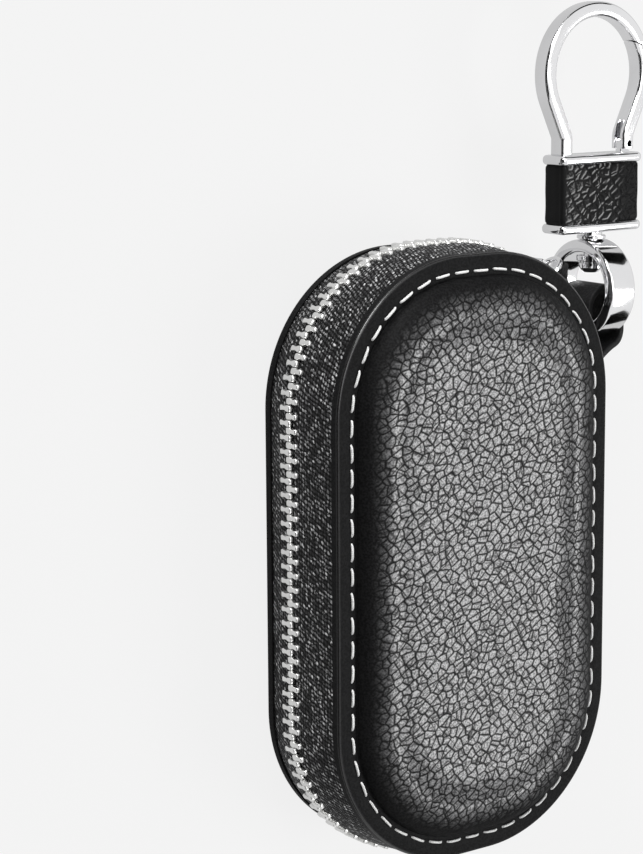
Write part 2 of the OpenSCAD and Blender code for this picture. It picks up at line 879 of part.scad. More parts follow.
// Lug on the top rail that carries the gate
module gate_lug() {
    difference() {
        union() {
            translate([gate_x, gate_y, mid_z - lug_t / 2])
                cylinder(r = lug_r, h = lug_t, $fn = small_fn);
            translate([gate_x - lug_r, block_top_y - rail_len / 2, mid_z - lug_t / 2])
                cube([2 * lug_r, gate_lift + rail_len / 2, lug_t]);
        }
        translate([gate_x, gate_y, mid_z - lug_t])
            cylinder(d = gate_pin_d, h = 2 * lug_t, $fn = small_fn);
    }
}
module snap_gate() {
    slot_t = lug_t + 2 * fork_gap;
    slot_top_y = gate_y + spring_foot + gate_spring_len + free_gap;
    color(chrome_col)
        difference() {
            translate([clip_x, 0, 0])
                difference() {
                    bar_side(leg_lean + nose_high_a + nose_spare_a, foot_len - gate_lift + gate_heel);
                    translate([0, loop_y, mid_z]) {
                        nose_slab(nose_high - nose_gap, loop_r + over);
                        difference() {
                            nose_slab(nose_low - nose_gap, loop_r + over);
                            cylinder(r = loop_mid_r - nose_step / 2, h = 3 * bar_t, center = true);
                        }
                    }
                }
            translate([gate_x - slot_top_y + block_top_y, block_top_y - over, mid_z - slot_t / 2])
                cube([2 * (slot_top_y - block_top_y), slot_top_y - block_top_y + over, slot_t]);
            translate([gate_x, gate_y, mid_z - bar_t])
                cylinder(d = gate_pin_d + 2 * run_gap, h = 2 * bar_t, $fn = small_fn);
        }
}
module gate_pin() {
    color(chrome_col)
        translate([gate_x, gate_y, mid_z - bar_t / 2])
            cylinder(d = gate_pin_d, h = bar_t, $fn = small_fn);
}
module gate_spring() {
    color(chrome_col)
        translate([gate_x + lug_r - gate_spring_t, gate_y + spring_foot, mid_z - lug_t / 2])
            cube([gate_spring_t, gate_spring_len, lug_t]);
}

// Strap and key ring inside the case
module strap_rivet_hole() {
    translate([0, strap_rivet_y, mid_z - board_top_h - over])
        cylinder(r = strap_rivet_r, h = board_t + lining_t + 2 * strap_t + 2 * over, $fn = small_fn);
}
module inner_strap() {
    out_r = strap_slot + strap_t;
    tail_y = strap_fold_y + strap_eye_len;
    color(leather_col)
        difference() {
            translate([-strap_w / 2, 0, 0])
                rotate([quarter, 0, quarter])
                    linear_extrude(strap_w)
                        difference() {
                            union() {
                                translate([strap_fold_y, strap_z])
                                    circle(out_r, $fn = small_fn);
                                polygon([
                                    [strap_fold_y, strap_z - out_r],
                                    [tail_y + out_r + strap_tail, strap_z - out_r],
                                    [tail_y + out_r + strap_tail, strap_z - out_r + 2 * strap_t],
                                    [tail_y + out_r, strap_z - out_r + 2 * strap_t],
                                    [tail_y, strap_z + out_r],
                                    [strap_fold_y, strap_z + out_r]]);
                            }
                            for (y = [strap_fold_y, tail_y])
                                translate([y, strap_z])
                                    circle(strap_slot, $fn = small_fn);
                            translate([strap_fold_y, strap_z - strap_slot])
                                square([strap_eye_len, 2 * strap_slot]);
                        }
            strap_rivet_hole();
        }
}
module strap_rivet() {
    shank = board_t + lining_t + 3 * lay_gap + 2 * strap_t;
    color(chrome_col)
        translate([0, strap_rivet_y, mid_z - board_top_h]) {
            cylinder(r = strap_rivet_r, h = shank, $fn = small_fn);
            translate([0, 0, shank])
                cylinder(r = 2 * strap_rivet_r, h = rivet_head_t, $fn = small_fn);
        }
}
module key_ring() {
    half_w = key_band_w / 2;
    half_t = key_band_t / 2;
    color(chrome_col)
        translate([0, key_y, strap_z])
            rotate_extrude()
                polygon([
                    [key_mid_r - half_w, -half_t / 2],
                    [key_mid_r - half_w / 2, -half_t],
                    [key_mid_r + half_w / 2, -half_t],
                    [key_mid_r + half_w, -half_t / 2],
                    [key_mid_r + half_w, half_t / 2],
                    [key_mid_r + half_w / 2, half_t],
                    [key_mid_r - half_w / 2, half_t],
                    [key_mid_r - half_w, half_t / 2]]);
}

back_leather();
back_padding();
back_board();
back_lining();
back_tape();
back_teeth();
spine();
zip_end_tapes();
zip_end_teeth();
top_stops();
bottom_stop();
leather_tab();
tab_rivet();
inner_strap();
strap_rivet();
key_ring();
front_leather();
front_padding();
front_board();
front_lining();
front_tape();
front_teeth();
slider_top_plate();
slider_under_plate();
slider_bridge();
pull_link();
pull_tag();
swivel_ring();
swivel_post();
swivel_collar();
bottom_rail();
top_rail();
clip_core();
clip_leather();
snap_loop();
snap_gate();
gate_pin();
gate_spring();
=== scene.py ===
"""Looks of a zipped leather key case with a swivel ring and a snap clip.

The case lies on its back panel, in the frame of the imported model: X runs across the case,
Y along it towards the clip and Z up through its thickness. Lengths are metres.
"""
import logging
import math
from dataclasses import dataclass
from enum import Enum
from typing import Iterable, Sequence

import bmesh
import bpy
import numpy as np
from mathutils import Matrix, Vector


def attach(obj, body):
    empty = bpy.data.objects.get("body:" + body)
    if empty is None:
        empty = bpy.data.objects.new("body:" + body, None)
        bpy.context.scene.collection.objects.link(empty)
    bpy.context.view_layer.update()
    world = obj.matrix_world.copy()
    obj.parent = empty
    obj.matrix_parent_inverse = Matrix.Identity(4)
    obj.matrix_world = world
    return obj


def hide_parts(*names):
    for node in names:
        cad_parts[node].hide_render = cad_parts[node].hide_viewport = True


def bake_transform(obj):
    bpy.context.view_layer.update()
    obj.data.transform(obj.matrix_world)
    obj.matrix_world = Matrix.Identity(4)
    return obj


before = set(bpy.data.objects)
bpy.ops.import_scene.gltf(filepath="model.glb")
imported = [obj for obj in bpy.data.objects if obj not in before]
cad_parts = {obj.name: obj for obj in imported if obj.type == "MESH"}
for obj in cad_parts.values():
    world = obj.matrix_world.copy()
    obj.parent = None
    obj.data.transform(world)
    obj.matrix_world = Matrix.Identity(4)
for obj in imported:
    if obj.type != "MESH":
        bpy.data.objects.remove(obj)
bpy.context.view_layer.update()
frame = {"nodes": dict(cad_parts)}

log = logging.getLogger("key_case")
MM = 0.001
UP = np.array([0.0, 0.0, 1.0])
Colour = tuple[float, float, float, float]
Section = Sequence[tuple[float, float]]


class Body(str, Enum):
    """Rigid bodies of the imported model."""

    BACK = "back_shell"
    FRONT = "front_shell"
    SLIDER = "slider"
    PULL = "pull"
    RING = "ring"
    CLIP = "clip"
    GATE = "gate"
    KEYS = "keys"


class Slot(str, Enum):
    """Material slots of the record."""

    PEBBLED = "pebbled_leather"
    SMOOTH = "smooth_leather"
    CREASED = "creased_leather"
    PADDING = "padding"
    BOARD = "board"
    LINING = "lining"
    TAPE = "zip_tape"
    ZIP_METAL = "zip_metal"
    CHROME = "chrome"
    CORE = "core_alloy"
    SPRING = "spring_steel"


class Side(Enum):
    """The two shells of the case, by the sign of their height above its middle."""

    FRONT = 1
    BACK = -1


# ---------------------------------------------------------------- node helpers


class Wiring:
    """Adds nodes to one tree and joins their sockets.

    Args:
        tree: the node tree of a material, a world or a node group.
    """

    def __init__(self, tree: bpy.types.NodeTree) -> None:
        self.tree = tree

    def node(self, kind: str, inputs: dict | None = None, **settings) -> bpy.types.Node:
        """Adds a node.

        Args:
            kind: Blender's node type.
            inputs: socket name or number to a constant or to a socket to join.
            settings: attributes of the node.

        Returns:
            The new node.
        """
        made = self.tree.nodes.new(kind)
        for name, value in settings.items():
            setattr(made, name, value)
        for key, value in (inputs or {}).items():
            self.put(made.inputs[key], value)
        return made

    def put(self, socket: bpy.types.NodeSocket, value) -> None:
        """Sets a socket to a constant, or joins it to another socket.

        Args:
            socket: the input to set.
            value: a constant or an output socket.
        """
        if isinstance(value, bpy.types.NodeSocket):
            self.tree.links.new(value, socket)
        else:
            socket.default_value = value

    def fit(self, node: bpy.types.Node, **inputs) -> None:
        """Sets or joins several inputs of a node.

        Args:
            node: the node.
            inputs: socket name, with underscores for spaces, to a constant or a socket.
        """
        for name, value in inputs.items():
            self.put(node.inputs[name.replace("_", " ")], value)

    def math(self, operation: str, a, b=0.0, c=0.0) -> bpy.types.NodeSocket:
        """Adds a Math node.

        Args:
            operation: its operation.
            a: first value or socket.
            b: second value or socket.
            c: third value or socket.

        Returns:
            Its result.
        """
        return self.node("ShaderNodeMath", {0: a, 1: b, 2: c}, operation=operation).outputs[0]

    def noise(self, place, scale: float, detail: float = 2.0) -> bpy.types.Node:
        """Adds a Noise Texture node.

        Args:
            place: vector or socket.
            scale: its scale.
            detail: its detail.

        Returns:
            The node.
        """
        return self.node("ShaderNodeTexNoise", {"Vector": place, "Scale": scale, "Detail": detail})

    def vector(self, operation: str, a, b=(0.0, 0.0, 0.0)) -> bpy.types.NodeSocket:
        """Adds a Vector Math node.

        Args:
            operation: its operation.
            a: first vector or socket.
            b: second vector or socket.

        Returns:
            Its vector result.
        """
        return self.node("ShaderNodeVectorMath", {0: a, 1: b}, operation=operation).outputs[0]

    def scale(self, a, factor) -> bpy.types.NodeSocket:
        """Scales a vector.

        Args:
            a: vector or socket.
            factor: value or socket.

        Returns:
            The scaled vector.
        """
        made = self.node("ShaderNodeVectorMath", {0: a}, operation="SCALE")
        self.put(made.inputs["Scale"], factor)
        return made.outputs[0]

    def ease(self, value, low, high, start: float = 0.0, end: float = 1.0) -> bpy.types.NodeSocket:
        """Maps a value smoothly from one range to another.

        Args:
            value: the socket to map.
            low: value at which the result is start.
            high: value at which the result is end.
            start: first result.
            end: last result.

        Returns:
            The mapped value.
        """
        made = self.node(
            "ShaderNodeMapRange",
            {"Value": value, "From Min": low, "From Max": high, "To Min": start, "To Max": end},
            interpolation_type="SMOOTHSTEP",
        )
        return made.outputs[0]

    def mix(self, share, a, b) -> bpy.types.NodeSocket:
        """Mixes two colours.

        Args:
            share: how much of the second colour.
            a: first colour or socket.
            b: second colour or socket.

        Returns:
            The mixed colour.
        """
        made = self.node("ShaderNodeMix", data_type="RGBA")
        self.put(made.inputs[0], share)
        self.put(made.inputs[6], a)
        self.put(made.inputs[7], b)
        return made.outputs[2]


class SharedEffect:
    """A node group that is built once and used by several finishes.

    Args:
        name: name of the group.
        takes: its number inputs, besides the place.
        gives: its outputs.
    """

    made: dict[str, bpy.types.NodeTree] = {}

    def __init__(self, name: str, takes: Sequence[str], gives: Sequence[str]) -> None:
        self.name = name
        self.takes = takes
        self.gives = gives

    def fill(self, w: Wiring, source: bpy.types.Node, sink: bpy.types.Node) -> None:
        """Adds the nodes of the effect.

        Args:
            w: helper on the group's tree.
            source: the group's input node.
            sink: the group's output node.
        """
        raise NotImplementedError

    def use(self, wiring: Wiring, **inputs) -> bpy.types.Node:
        """Adds the group to a material, and builds it on first use.

        Args:
            wiring: helper on the material's tree.
            inputs: see Wiring.fit.

        Returns:
            The group node.
        """
        if self.name not in SharedEffect.made:
            group = bpy.data.node_groups.new(self.name, "ShaderNodeTree")
            group.interface.new_socket("Vector", in_out="INPUT", socket_type="NodeSocketVector")
            for names, way in ((self.takes, "INPUT"), (self.gives, "OUTPUT")):
                for name in names:
                    group.interface.new_socket(name, in_out=way, socket_type="NodeSocketFloat")
            w = Wiring(group)
            self.fill(w, w.node("NodeGroupInput"), w.node("NodeGroupOutput"))
            SharedEffect.made[self.name] = group
        made = wiring.node("ShaderNodeGroup", node_tree=SharedEffect.made[self.name])
        wiring.fit(made, **inputs)
        return made


class PebbleGrain(SharedEffect):
    """Leather grain: flat-topped cells parted by thin cracks, crossed by longer slanting creases.

    Args:
        space: "2D" for cells drawn on the XY plane, "3D" for cells in space.
    """

    lean_deg = -31.0
    stretch = (0.82, 1.12, 1.0)
    randomness = 0.85
    crease_families = ((31.0, 1.5), (-50.0, 1.9))

    def __init__(self, space: str = "2D") -> None:
        self.space = space
        super().__init__(f"pebble_grain_{space}", ("Cell", "Crease", "Warp"), ("Height", "Open", "Tone"))

    def cells(self, w: Wiring, place: bpy.types.NodeSocket, randomness: float = 1.0, **settings) -> bpy.types.Node:
        """Adds a Voronoi Texture node in the grain's space.

        Args:
            w: helper on the group's tree.
            place: place in cells.
            randomness: how far the cells stray from a grid.
            settings: attributes of the node.

        Returns:
            The node.
        """
        return w.node("ShaderNodeTexVoronoi", {"Vector": place, "Scale": 1.0, "Randomness": randomness},
                      voronoi_dimensions=self.space, **settings)

    def crease(self, w: Wiring, place: bpy.types.NodeSocket, turn_deg: float, spacing: float) -> bpy.types.NodeSocket:
        """Adds a family of long creases that come and go.

        Args:
            w: helper on the group's tree.
            place: place in cells.
            turn_deg: direction of the creases in the panel's plane.
            spacing: cells between them.

        Returns:
            Height that drops in each crease.
        """
        rotated = w.node("ShaderNodeVectorRotate", {"Vector": place, "Angle": -math.radians(turn_deg)},
                         rotation_type="Z_AXIS")
        drawn = w.vector("MULTIPLY", rotated.outputs[0], (0.3 / spacing, 1 / spacing, 1.0))
        strips = self.cells(w, drawn, feature="DISTANCE_TO_EDGE")
        line = w.ease(strips.outputs["Distance"], 0.0, 0.06, 0.25, 1.0)
        return w.math("MAXIMUM", line, w.ease(w.noise(drawn, 0.8).outputs["Fac"], 0.47, 0.58))

    def fill(self, w: Wiring, source: bpy.types.Node, sink: bpy.types.Node) -> None:
        """Adds the nodes of the effect; see SharedEffect.fill."""
        place = w.scale(source.outputs["Vector"], w.math("DIVIDE", 1.0, source.outputs["Cell"]))
        swirl = w.noise(place, 0.7, 5.0)
        shift = w.scale(w.vector("SUBTRACT", swirl.outputs["Color"], (0.5, 0.5, 0.5)), source.outputs["Warp"])
        warped = w.vector("ADD", place, shift)
        rotated = w.node("ShaderNodeVectorRotate", {"Vector": warped, "Angle": math.radians(self.lean_deg)},
                         rotation_type="Z_AXIS")
        longer = w.vector("MULTIPLY", rotated.outputs[0], self.stretch)
        edges = self.cells(w, longer, self.randomness, feature="DISTANCE_TO_EDGE").outputs["Distance"]
        tone = w.node("ShaderNodeSeparateColor", {0: self.cells(w, longer, self.randomness).outputs["Color"]})
        creases = w.math("MULTIPLY", *(self.crease(w, warped, *family) for family in self.crease_families))
        w.fit(sink, Height=w.math("MULTIPLY", w.ease(edges, 0.0, source.outputs["Crease"]), creases),
              Open=w.math("MULTIPLY", w.ease(edges, 0.01, 0.2), creases), Tone=tone.outputs[0])


class TwillWeave(SharedEffect):
    """Twill cloth: short slanting floats of thread in staggered rows, with threads picked for a painted glint."""

    def __init__(self) -> None:
        super().__init__("twill_weave", ("Pitch", "Lean"), ("Height", "Thread", "Glint"))

    def fill(self, w: Wiring, source: bpy.types.Node, sink: bpy.types.Node) -> None:
        """Adds the nodes of the effect; see SharedEffect.fill."""
        place = w.scale(source.outputs["Vector"], w.math("DIVIDE", 1.0, source.outputs["Pitch"]))
        sway = w.scale(w.noise(place, 0.45).outputs["Color"], 1.3)
        parts = w.node("ShaderNodeSeparateXYZ", {0: w.vector("ADD", place, sway)})
        across = w.math("MULTIPLY", parts.outputs[1], 1.2)
        row = w.math("FLOOR", across)
        lean = source.outputs["Lean"]
        along = w.math("ADD", parts.outputs[0], w.math("MULTIPLY", row, w.math("MULTIPLY", lean, 0.36)))
        in_u, in_v = (w.math("SUBTRACT", w.math("FRACT", way), 0.5) for way in (along, across))
        slant = w.math("MULTIPLY_ADD", in_v, w.math("MULTIPLY", lean, 0.5), in_u)
        du, dv = (w.math("POWER", w.math("ABSOLUTE", w.math("MULTIPLY", off, narrow)), 2.0)
                  for off, narrow in ((slant, 2.3), (in_v, 1.9)))
        bump = w.math("MAXIMUM", w.math("SUBTRACT", 1.0, w.math("ADD", du, dv)), 0.0)
        cell = w.node("ShaderNodeCombineXYZ", {0: w.math("FLOOR", along), 1: row})
        chance = w.math("POWER", w.node("ShaderNodeTexWhiteNoise", {"Vector": cell.outputs[0]}).outputs["Value"], 1.7)
        # threads picked at random for the painted glint
        wear_and_sheen = w.math("MULTIPLY", chance, w.ease(w.noise(place, 1.3).outputs["Fac"], 0.4, 0.62))
        w.fit(sink, Height=w.math("SQRT", bump), Thread=bump, Glint=w.math("MULTIPLY", bump, wear_and_sheen))


class FineNoise(SharedEffect):
    """Small uneven marks, for smooth leather and brushed parts."""

    def __init__(self) -> None:
        super().__init__("fine_marks", ("Size",), ("Height", "Patch"))

    def fill(self, w: Wiring, source: bpy.types.Node, sink: bpy.types.Node) -> None:
        """Adds the nodes of the effect; see SharedEffect.fill."""
        place = w.scale(source.outputs["Vector"], w.math("DIVIDE", 1.0, source.outputs["Size"]))
        w.fit(sink, Height=w.noise(place, 1.0, 3.0).outputs["Fac"],
              Patch=w.ease(w.noise(place, 0.06).outputs["Fac"], 0.35, 0.65))


# ---------------------------------------------------------------- finishes


def plain_material(name: str) -> tuple[bpy.types.Material, Wiring]:
    """Makes a material with no nodes yet.

    Args:
        name: its name.

    Returns:
        The material and a helper on its tree.
    """
    made = bpy.data.materials.new(name)
    made.use_nodes = True
    made.node_tree.nodes.clear()
    return made, Wiring(made.node_tree)


def tinted(colour: Colour, factor: float) -> Colour:
    """Lightens or darkens a colour.

    Args:
        colour: the colour.
        factor: what its three channels are multiplied by.

    Returns:
        The new colour.
    """
    return tuple(factor * c for c in colour[:3]) + (1.0,)


@dataclass(frozen=True)
class Finish:
    """A procedural finish. Subclasses wire its colour, gloss and relief."""

    name: str
    slot: Slot | None = None

    def wire(self, w: Wiring, shader: bpy.types.Node) -> None:
        """Wires the finish to its shader.

        Args:
            w: helper on the material's tree.
            shader: the material's Principled node.
        """
        raise NotImplementedError

    def material(self) -> bpy.types.Material:
        """Makes the material, once.

        Returns:
            The Blender material.
        """
        made = bpy.data.materials.get(self.name)
        if made is None:
            made, w = plain_material(self.name)
            shader = w.node("ShaderNodeBsdfPrincipled")
            w.node("ShaderNodeOutputMaterial", {"Surface": shader.outputs[0]})
            self.wire(w, shader)
        return made

    @staticmethod
    def place(w: Wiring) -> bpy.types.NodeSocket:
        """Gives the place on the piece in metres.

        Args:
            w: helper on the material's tree.

        Returns:
            The object coordinates.
        """
        return w.node("ShaderNodeTexCoord").outputs["Object"]

    @staticmethod
    def relief(w: Wiring, shader: bpy.types.Node, height, depth: float, strength: float = 1.0) -> None:
        """Turns a height into the shader's normal.

        Args:
            w: helper on the material's tree.
            shader: the Principled node.
            height: socket with heights from 0 to 1.
            depth: depth of the relief in metres.
            strength: share of the relief to show.
        """
        bump = w.node("ShaderNodeBump", {"Height": height, "Distance": depth, "Strength": strength})
        w.put(shader.inputs["Normal"], bump.outputs[0])


@dataclass(frozen=True)
class PebbledLeather(Finish):
    """Black leather with a waxed pebbled panel that fades into a dull rim with a painted edge. The panel's grey pebble
    tops are painted sheen; the leather itself is near black, like its rim and cracks.
    """

    cell: float = 0.0017
    crease: float = 0.42
    depth: float = 0.0004
    # The pebble tops are painted sheen: grey in the base colour where waxed black leather shows a soft reflection.
    top: Colour = (0.25, 0.25, 0.255, 1.0)
    dim_sheen_top: Colour = (0.05, 0.05, 0.052, 1.0)
    crack: Colour = (0.007, 0.007, 0.007, 1.0)
    rim: Colour = (0.0055, 0.0055, 0.0057, 1.0)
    painted_coat: float = 0.95

    def wire(self, w: Wiring, shader: bpy.types.Node) -> None:
        """Wires the finish; see Finish.wire."""
        place = self.place(w)
        zone = w.node("ShaderNodeAttribute", attribute_name="grain").outputs["Fac"]
        panel = w.math("MAXIMUM", zone, 0.0)
        edge = w.math("MAXIMUM", w.math("MULTIPLY", zone, -1.0), 0.0)
        grain = PebbleGrain().use(w, Vector=place, Cell=self.cell, Crease=self.crease, Warp=0.5).outputs
        marks = FineNoise().use(w, Vector=place, Size=0.00042).outputs["Height"]
        mottle = w.ease(marks, 0.38, 0.62)
        light = w.math("MULTIPLY_ADD", grain["Tone"], 0.25, w.math("MULTIPLY", mottle, 0.75))
        # painted sheen: grey pebble tops between cracks that keep the leather's own black
        skin = w.mix(grain["Open"], self.crack, w.mix(light, self.dim_sheen_top, self.top))
        dull = w.mix(mottle, self.rim, tinted(self.rim, 2.1))
        waxed = w.math("MULTIPLY", w.math("MULTIPLY", grain["Open"], panel), w.math("MULTIPLY_ADD", mottle, 0.65, 0.35))
        # the painted sheen fades into the dull rim over the shoulder, which paints shade there
        w.fit(shader, Base_Color=w.mix(w.ease(panel, 0.0, 1.0), dull, skin), Roughness=0.5, Specular_IOR_Level=0.04,
              Coat_Weight=w.math("MAXIMUM", waxed, w.math("MULTIPLY", edge, self.painted_coat)), Coat_Roughness=0.2,
              Coat_IOR=1.6)
        raised = w.math("MULTIPLY", grain["Height"], w.ease(panel, 0.0, 0.6, 0.02, 1.0))
        self.relief(w, shader, w.math("MULTIPLY_ADD", marks, 0.16, raised), self.depth)


@dataclass(frozen=True)
class SmoothLeather(Finish):
    """Black leather with a fine grain."""

    colour: Colour = (0.0085, 0.0085, 0.009, 1.0)
    cell: float = 0.0008
    depth: float = 0.00004

    def wire(self, w: Wiring, shader: bpy.types.Node) -> None:
        """Wires the finish; see Finish.wire."""
        place = self.place(w)
        grain = PebbleGrain("3D").use(w, Vector=place, Cell=self.cell, Crease=0.3, Warp=0.8).outputs["Height"]
        wear_and_sheen = w.math("MULTIPLY", FineNoise().use(w, Vector=place, Size=0.0004).outputs["Patch"], 0.6)
        w.fit(shader, Base_Color=w.mix(wear_and_sheen, self.colour, tinted(self.colour, 2.0)),
              Roughness=w.math("MULTIPLY_ADD", grain, -0.15, 0.58), Specular_IOR_Level=0.12)
        self.relief(w, shader, grain, self.depth)


@dataclass(frozen=True)
class CreasedLeather(Finish):
    """Black leather with large slanting creases whose lips carry a painted highlight, and painted sheen at the block's
    left end, as on the clip's block.
    """

    cell: float = 0.0018
    depth: float = 0.00028
    # Below: the shift and colour of the painted highlight on the crease edges, and the span of x where the painted
    # sheen fades out.
    highlight_shift: float = 0.0002
    body: Colour = (0.009, 0.009, 0.0093, 1.0)
    lip: Colour = (0.34, 0.34, 0.34, 1.0)
    side_x: float = 0.0299
    shine: tuple[float, float] = (0.0305, 0.0385)

    def wire(self, w: Wiring, shader: bpy.types.Node) -> None:
        """Wires the finish; see Finish.wire."""
        place = self.place(w)
        # painted highlight: comparing the height with a shifted copy lights one side of each crease
        shifted = w.vector("ADD", place, (self.highlight_shift, -self.highlight_shift, 0.0))
        grain, beside = (PebbleGrain().use(w, Vector=at, Cell=self.cell, Crease=0.3, Warp=0.7).outputs["Height"]
                         for at in (place, shifted))
        marks = FineNoise().use(w, Vector=place, Size=0.0004).outputs["Height"]
        x = w.node("ShaderNodeSeparateXYZ", {0: place}).outputs[0]
        front = w.ease(x, self.side_x + 0.0006, self.side_x + 0.0016)
        raised = w.math("MULTIPLY", grain, front)
        lit_crease_edges = w.math("MULTIPLY", w.ease(w.math("SUBTRACT", grain, beside), 0.15, 0.75), front)
        # painted sheen on the block's left end; the crease highlight fades out towards its right end
        left = w.ease(x, self.shine[0], self.shine[1], 1.0, 0.0)
        right = w.ease(x, self.shine[1] + 0.004, self.shine[1] + 0.009, 1.0, 0.0)
        sheen = w.math("MULTIPLY", w.math("MULTIPLY", left, raised), w.ease(marks, 0.4, 0.62))
        wear_and_sheen = w.math("ADD", w.math("MULTIPLY", lit_crease_edges, right), w.math("MULTIPLY", sheen, 0.45))
        w.fit(shader, Base_Color=w.mix(w.math("MINIMUM", wear_and_sheen, 1.0), self.body, self.lip), Roughness=0.45,
              Specular_IOR_Level=0.06)
        self.relief(w, shader, w.math("MULTIPLY_ADD", marks, 0.15, raised), self.depth)


@dataclass(frozen=True)
class TwillCloth(Finish):
    """Black woven zip tape, painted darker between its threads as shade and with a painted glint on some threads."""

    pitch: float = 0.00092
    lean: float = 1.0
    depth: float = 0.0002
    low: Colour = (0.003, 0.003, 0.003, 1.0)
    high: Colour = (0.022, 0.022, 0.023, 1.0)
    glint: Colour = (0.85, 0.85, 0.86, 1.0)

    def wire(self, w: Wiring, shader: bpy.types.Node) -> None:
        """Wires the finish; see Finish.wire."""
        place = w.node("ShaderNodeTexCoord").outputs["UV"]
        weave = TwillWeave().use(w, Vector=place, Pitch=self.pitch, Lean=self.lean).outputs
        # painted shade between the threads and a painted highlight on the glinting ones
        thread = w.mix(weave["Thread"], self.low, self.high)
        w.fit(shader, Base_Color=w.mix(weave["Glint"], thread, self.glint), Specular_IOR_Level=0.1,
              Roughness=w.math("MULTIPLY_ADD", weave["Thread"], -0.2, 0.6))
        self.relief(w, shader, weave["Height"], self.depth)


@dataclass(frozen=True)
class LiningCloth(Finish):
    """Fine black lining cloth, painted darker between its threads as shade."""

    pitch: float = 0.0005
    low: Colour = (0.008, 0.008, 0.009, 1.0)
    high: Colour = (0.030, 0.030, 0.033, 1.0)
    faded: Colour = (0.02, 0.02, 0.022, 1.0)

    def wire(self, w: Wiring, shader: bpy.types.Node) -> None:
        """Wires the finish; see Finish.wire."""
        weave = TwillWeave().use(w, Vector=self.place(w), Pitch=self.pitch, Lean=0.5).outputs
        fading = w.math("MULTIPLY", FineNoise().use(w, Vector=self.place(w), Size=0.0012).outputs["Patch"], 0.3)
        # painted shade: the cloth is darker between its threads
        thread = w.mix(weave["Thread"], self.low, self.high)
        w.fit(shader, Base_Color=w.mix(fading, thread, self.faded), Roughness=0.75)
        self.relief(w, shader, weave["Height"], 0.00008)


@dataclass(frozen=True)
class Polished(Finish):
    """Polished or satin metal with faint marks."""

    colour: Colour = (0.84, 0.84, 0.85, 1.0)
    roughness: float = 0.06
    marks: float = 0.05

    def wire(self, w: Wiring, shader: bpy.types.Node) -> None:
        """Wires the finish; see Finish.wire."""
        marks = FineNoise().use(w, Vector=self.place(w), Size=0.0008).outputs
        w.fit(shader, Metallic=1.0, Base_Color=w.mix(marks["Patch"], self.colour, tinted(self.colour, 0.94)),
              Roughness=w.math("MULTIPLY_ADD", marks["Patch"], self.marks, self.roughness))
        self.relief(w, shader, marks["Height"], 0.000004, 0.4)


@dataclass(frozen=True)
class SewingThread(Finish):
    """White twisted sewing thread, painted darker in the grooves between its plies as shade."""

    low: Colour = (0.84, 0.84, 0.83, 1.0)
    high: Colour = (0.96, 0.96, 0.95, 1.0)
    twists_per_m: float = 9000.0

    def wire(self, w: Wiring, shader: bpy.types.Node) -> None:
        """Wires the finish; see Finish.wire."""
        along, around = w.node("ShaderNodeSeparateXYZ", {0: w.node("ShaderNodeTexCoord").outputs["UV"]}).outputs[:2]
        turn = w.math("ADD", w.math("MULTIPLY", along, self.twists_per_m), w.math("MULTIPLY", around, math.tau * 2))
        ply = w.math("ABSOLUTE", w.math("SINE", turn))
        # painted shade: darker in the grooves of the twist
        w.fit(shader, Base_Color=w.mix(ply, self.low, self.high), Roughness=0.6, Sheen_Weight=0.3)
        self.relief(w, shader, ply, 0.00004)


@dataclass(frozen=True)
class Filling(Finish):
    """Dull foam or fibre board with small pores."""

    low: Colour = (0.2, 0.2, 0.21, 1.0)
    high: Colour = (0.4, 0.4, 0.42, 1.0)
    stretch: float = 1.0
    pore: float = 0.0009
    roughness: float = 0.9
    depth: float = 0.0003

    def wire(self, w: Wiring, shader: bpy.types.Node) -> None:
        """Wires the finish; see Finish.wire."""
        place = w.vector("MULTIPLY", self.place(w), (1.0, self.stretch, 1.0))
        marks = FineNoise().use(w, Vector=place, Size=self.pore).outputs["Height"]
        w.fit(shader, Base_Color=w.mix(marks, self.low, self.high), Roughness=self.roughness)
        self.relief(w, shader, marks, self.depth)


# ---------------------------------------------------------------- mesh helpers


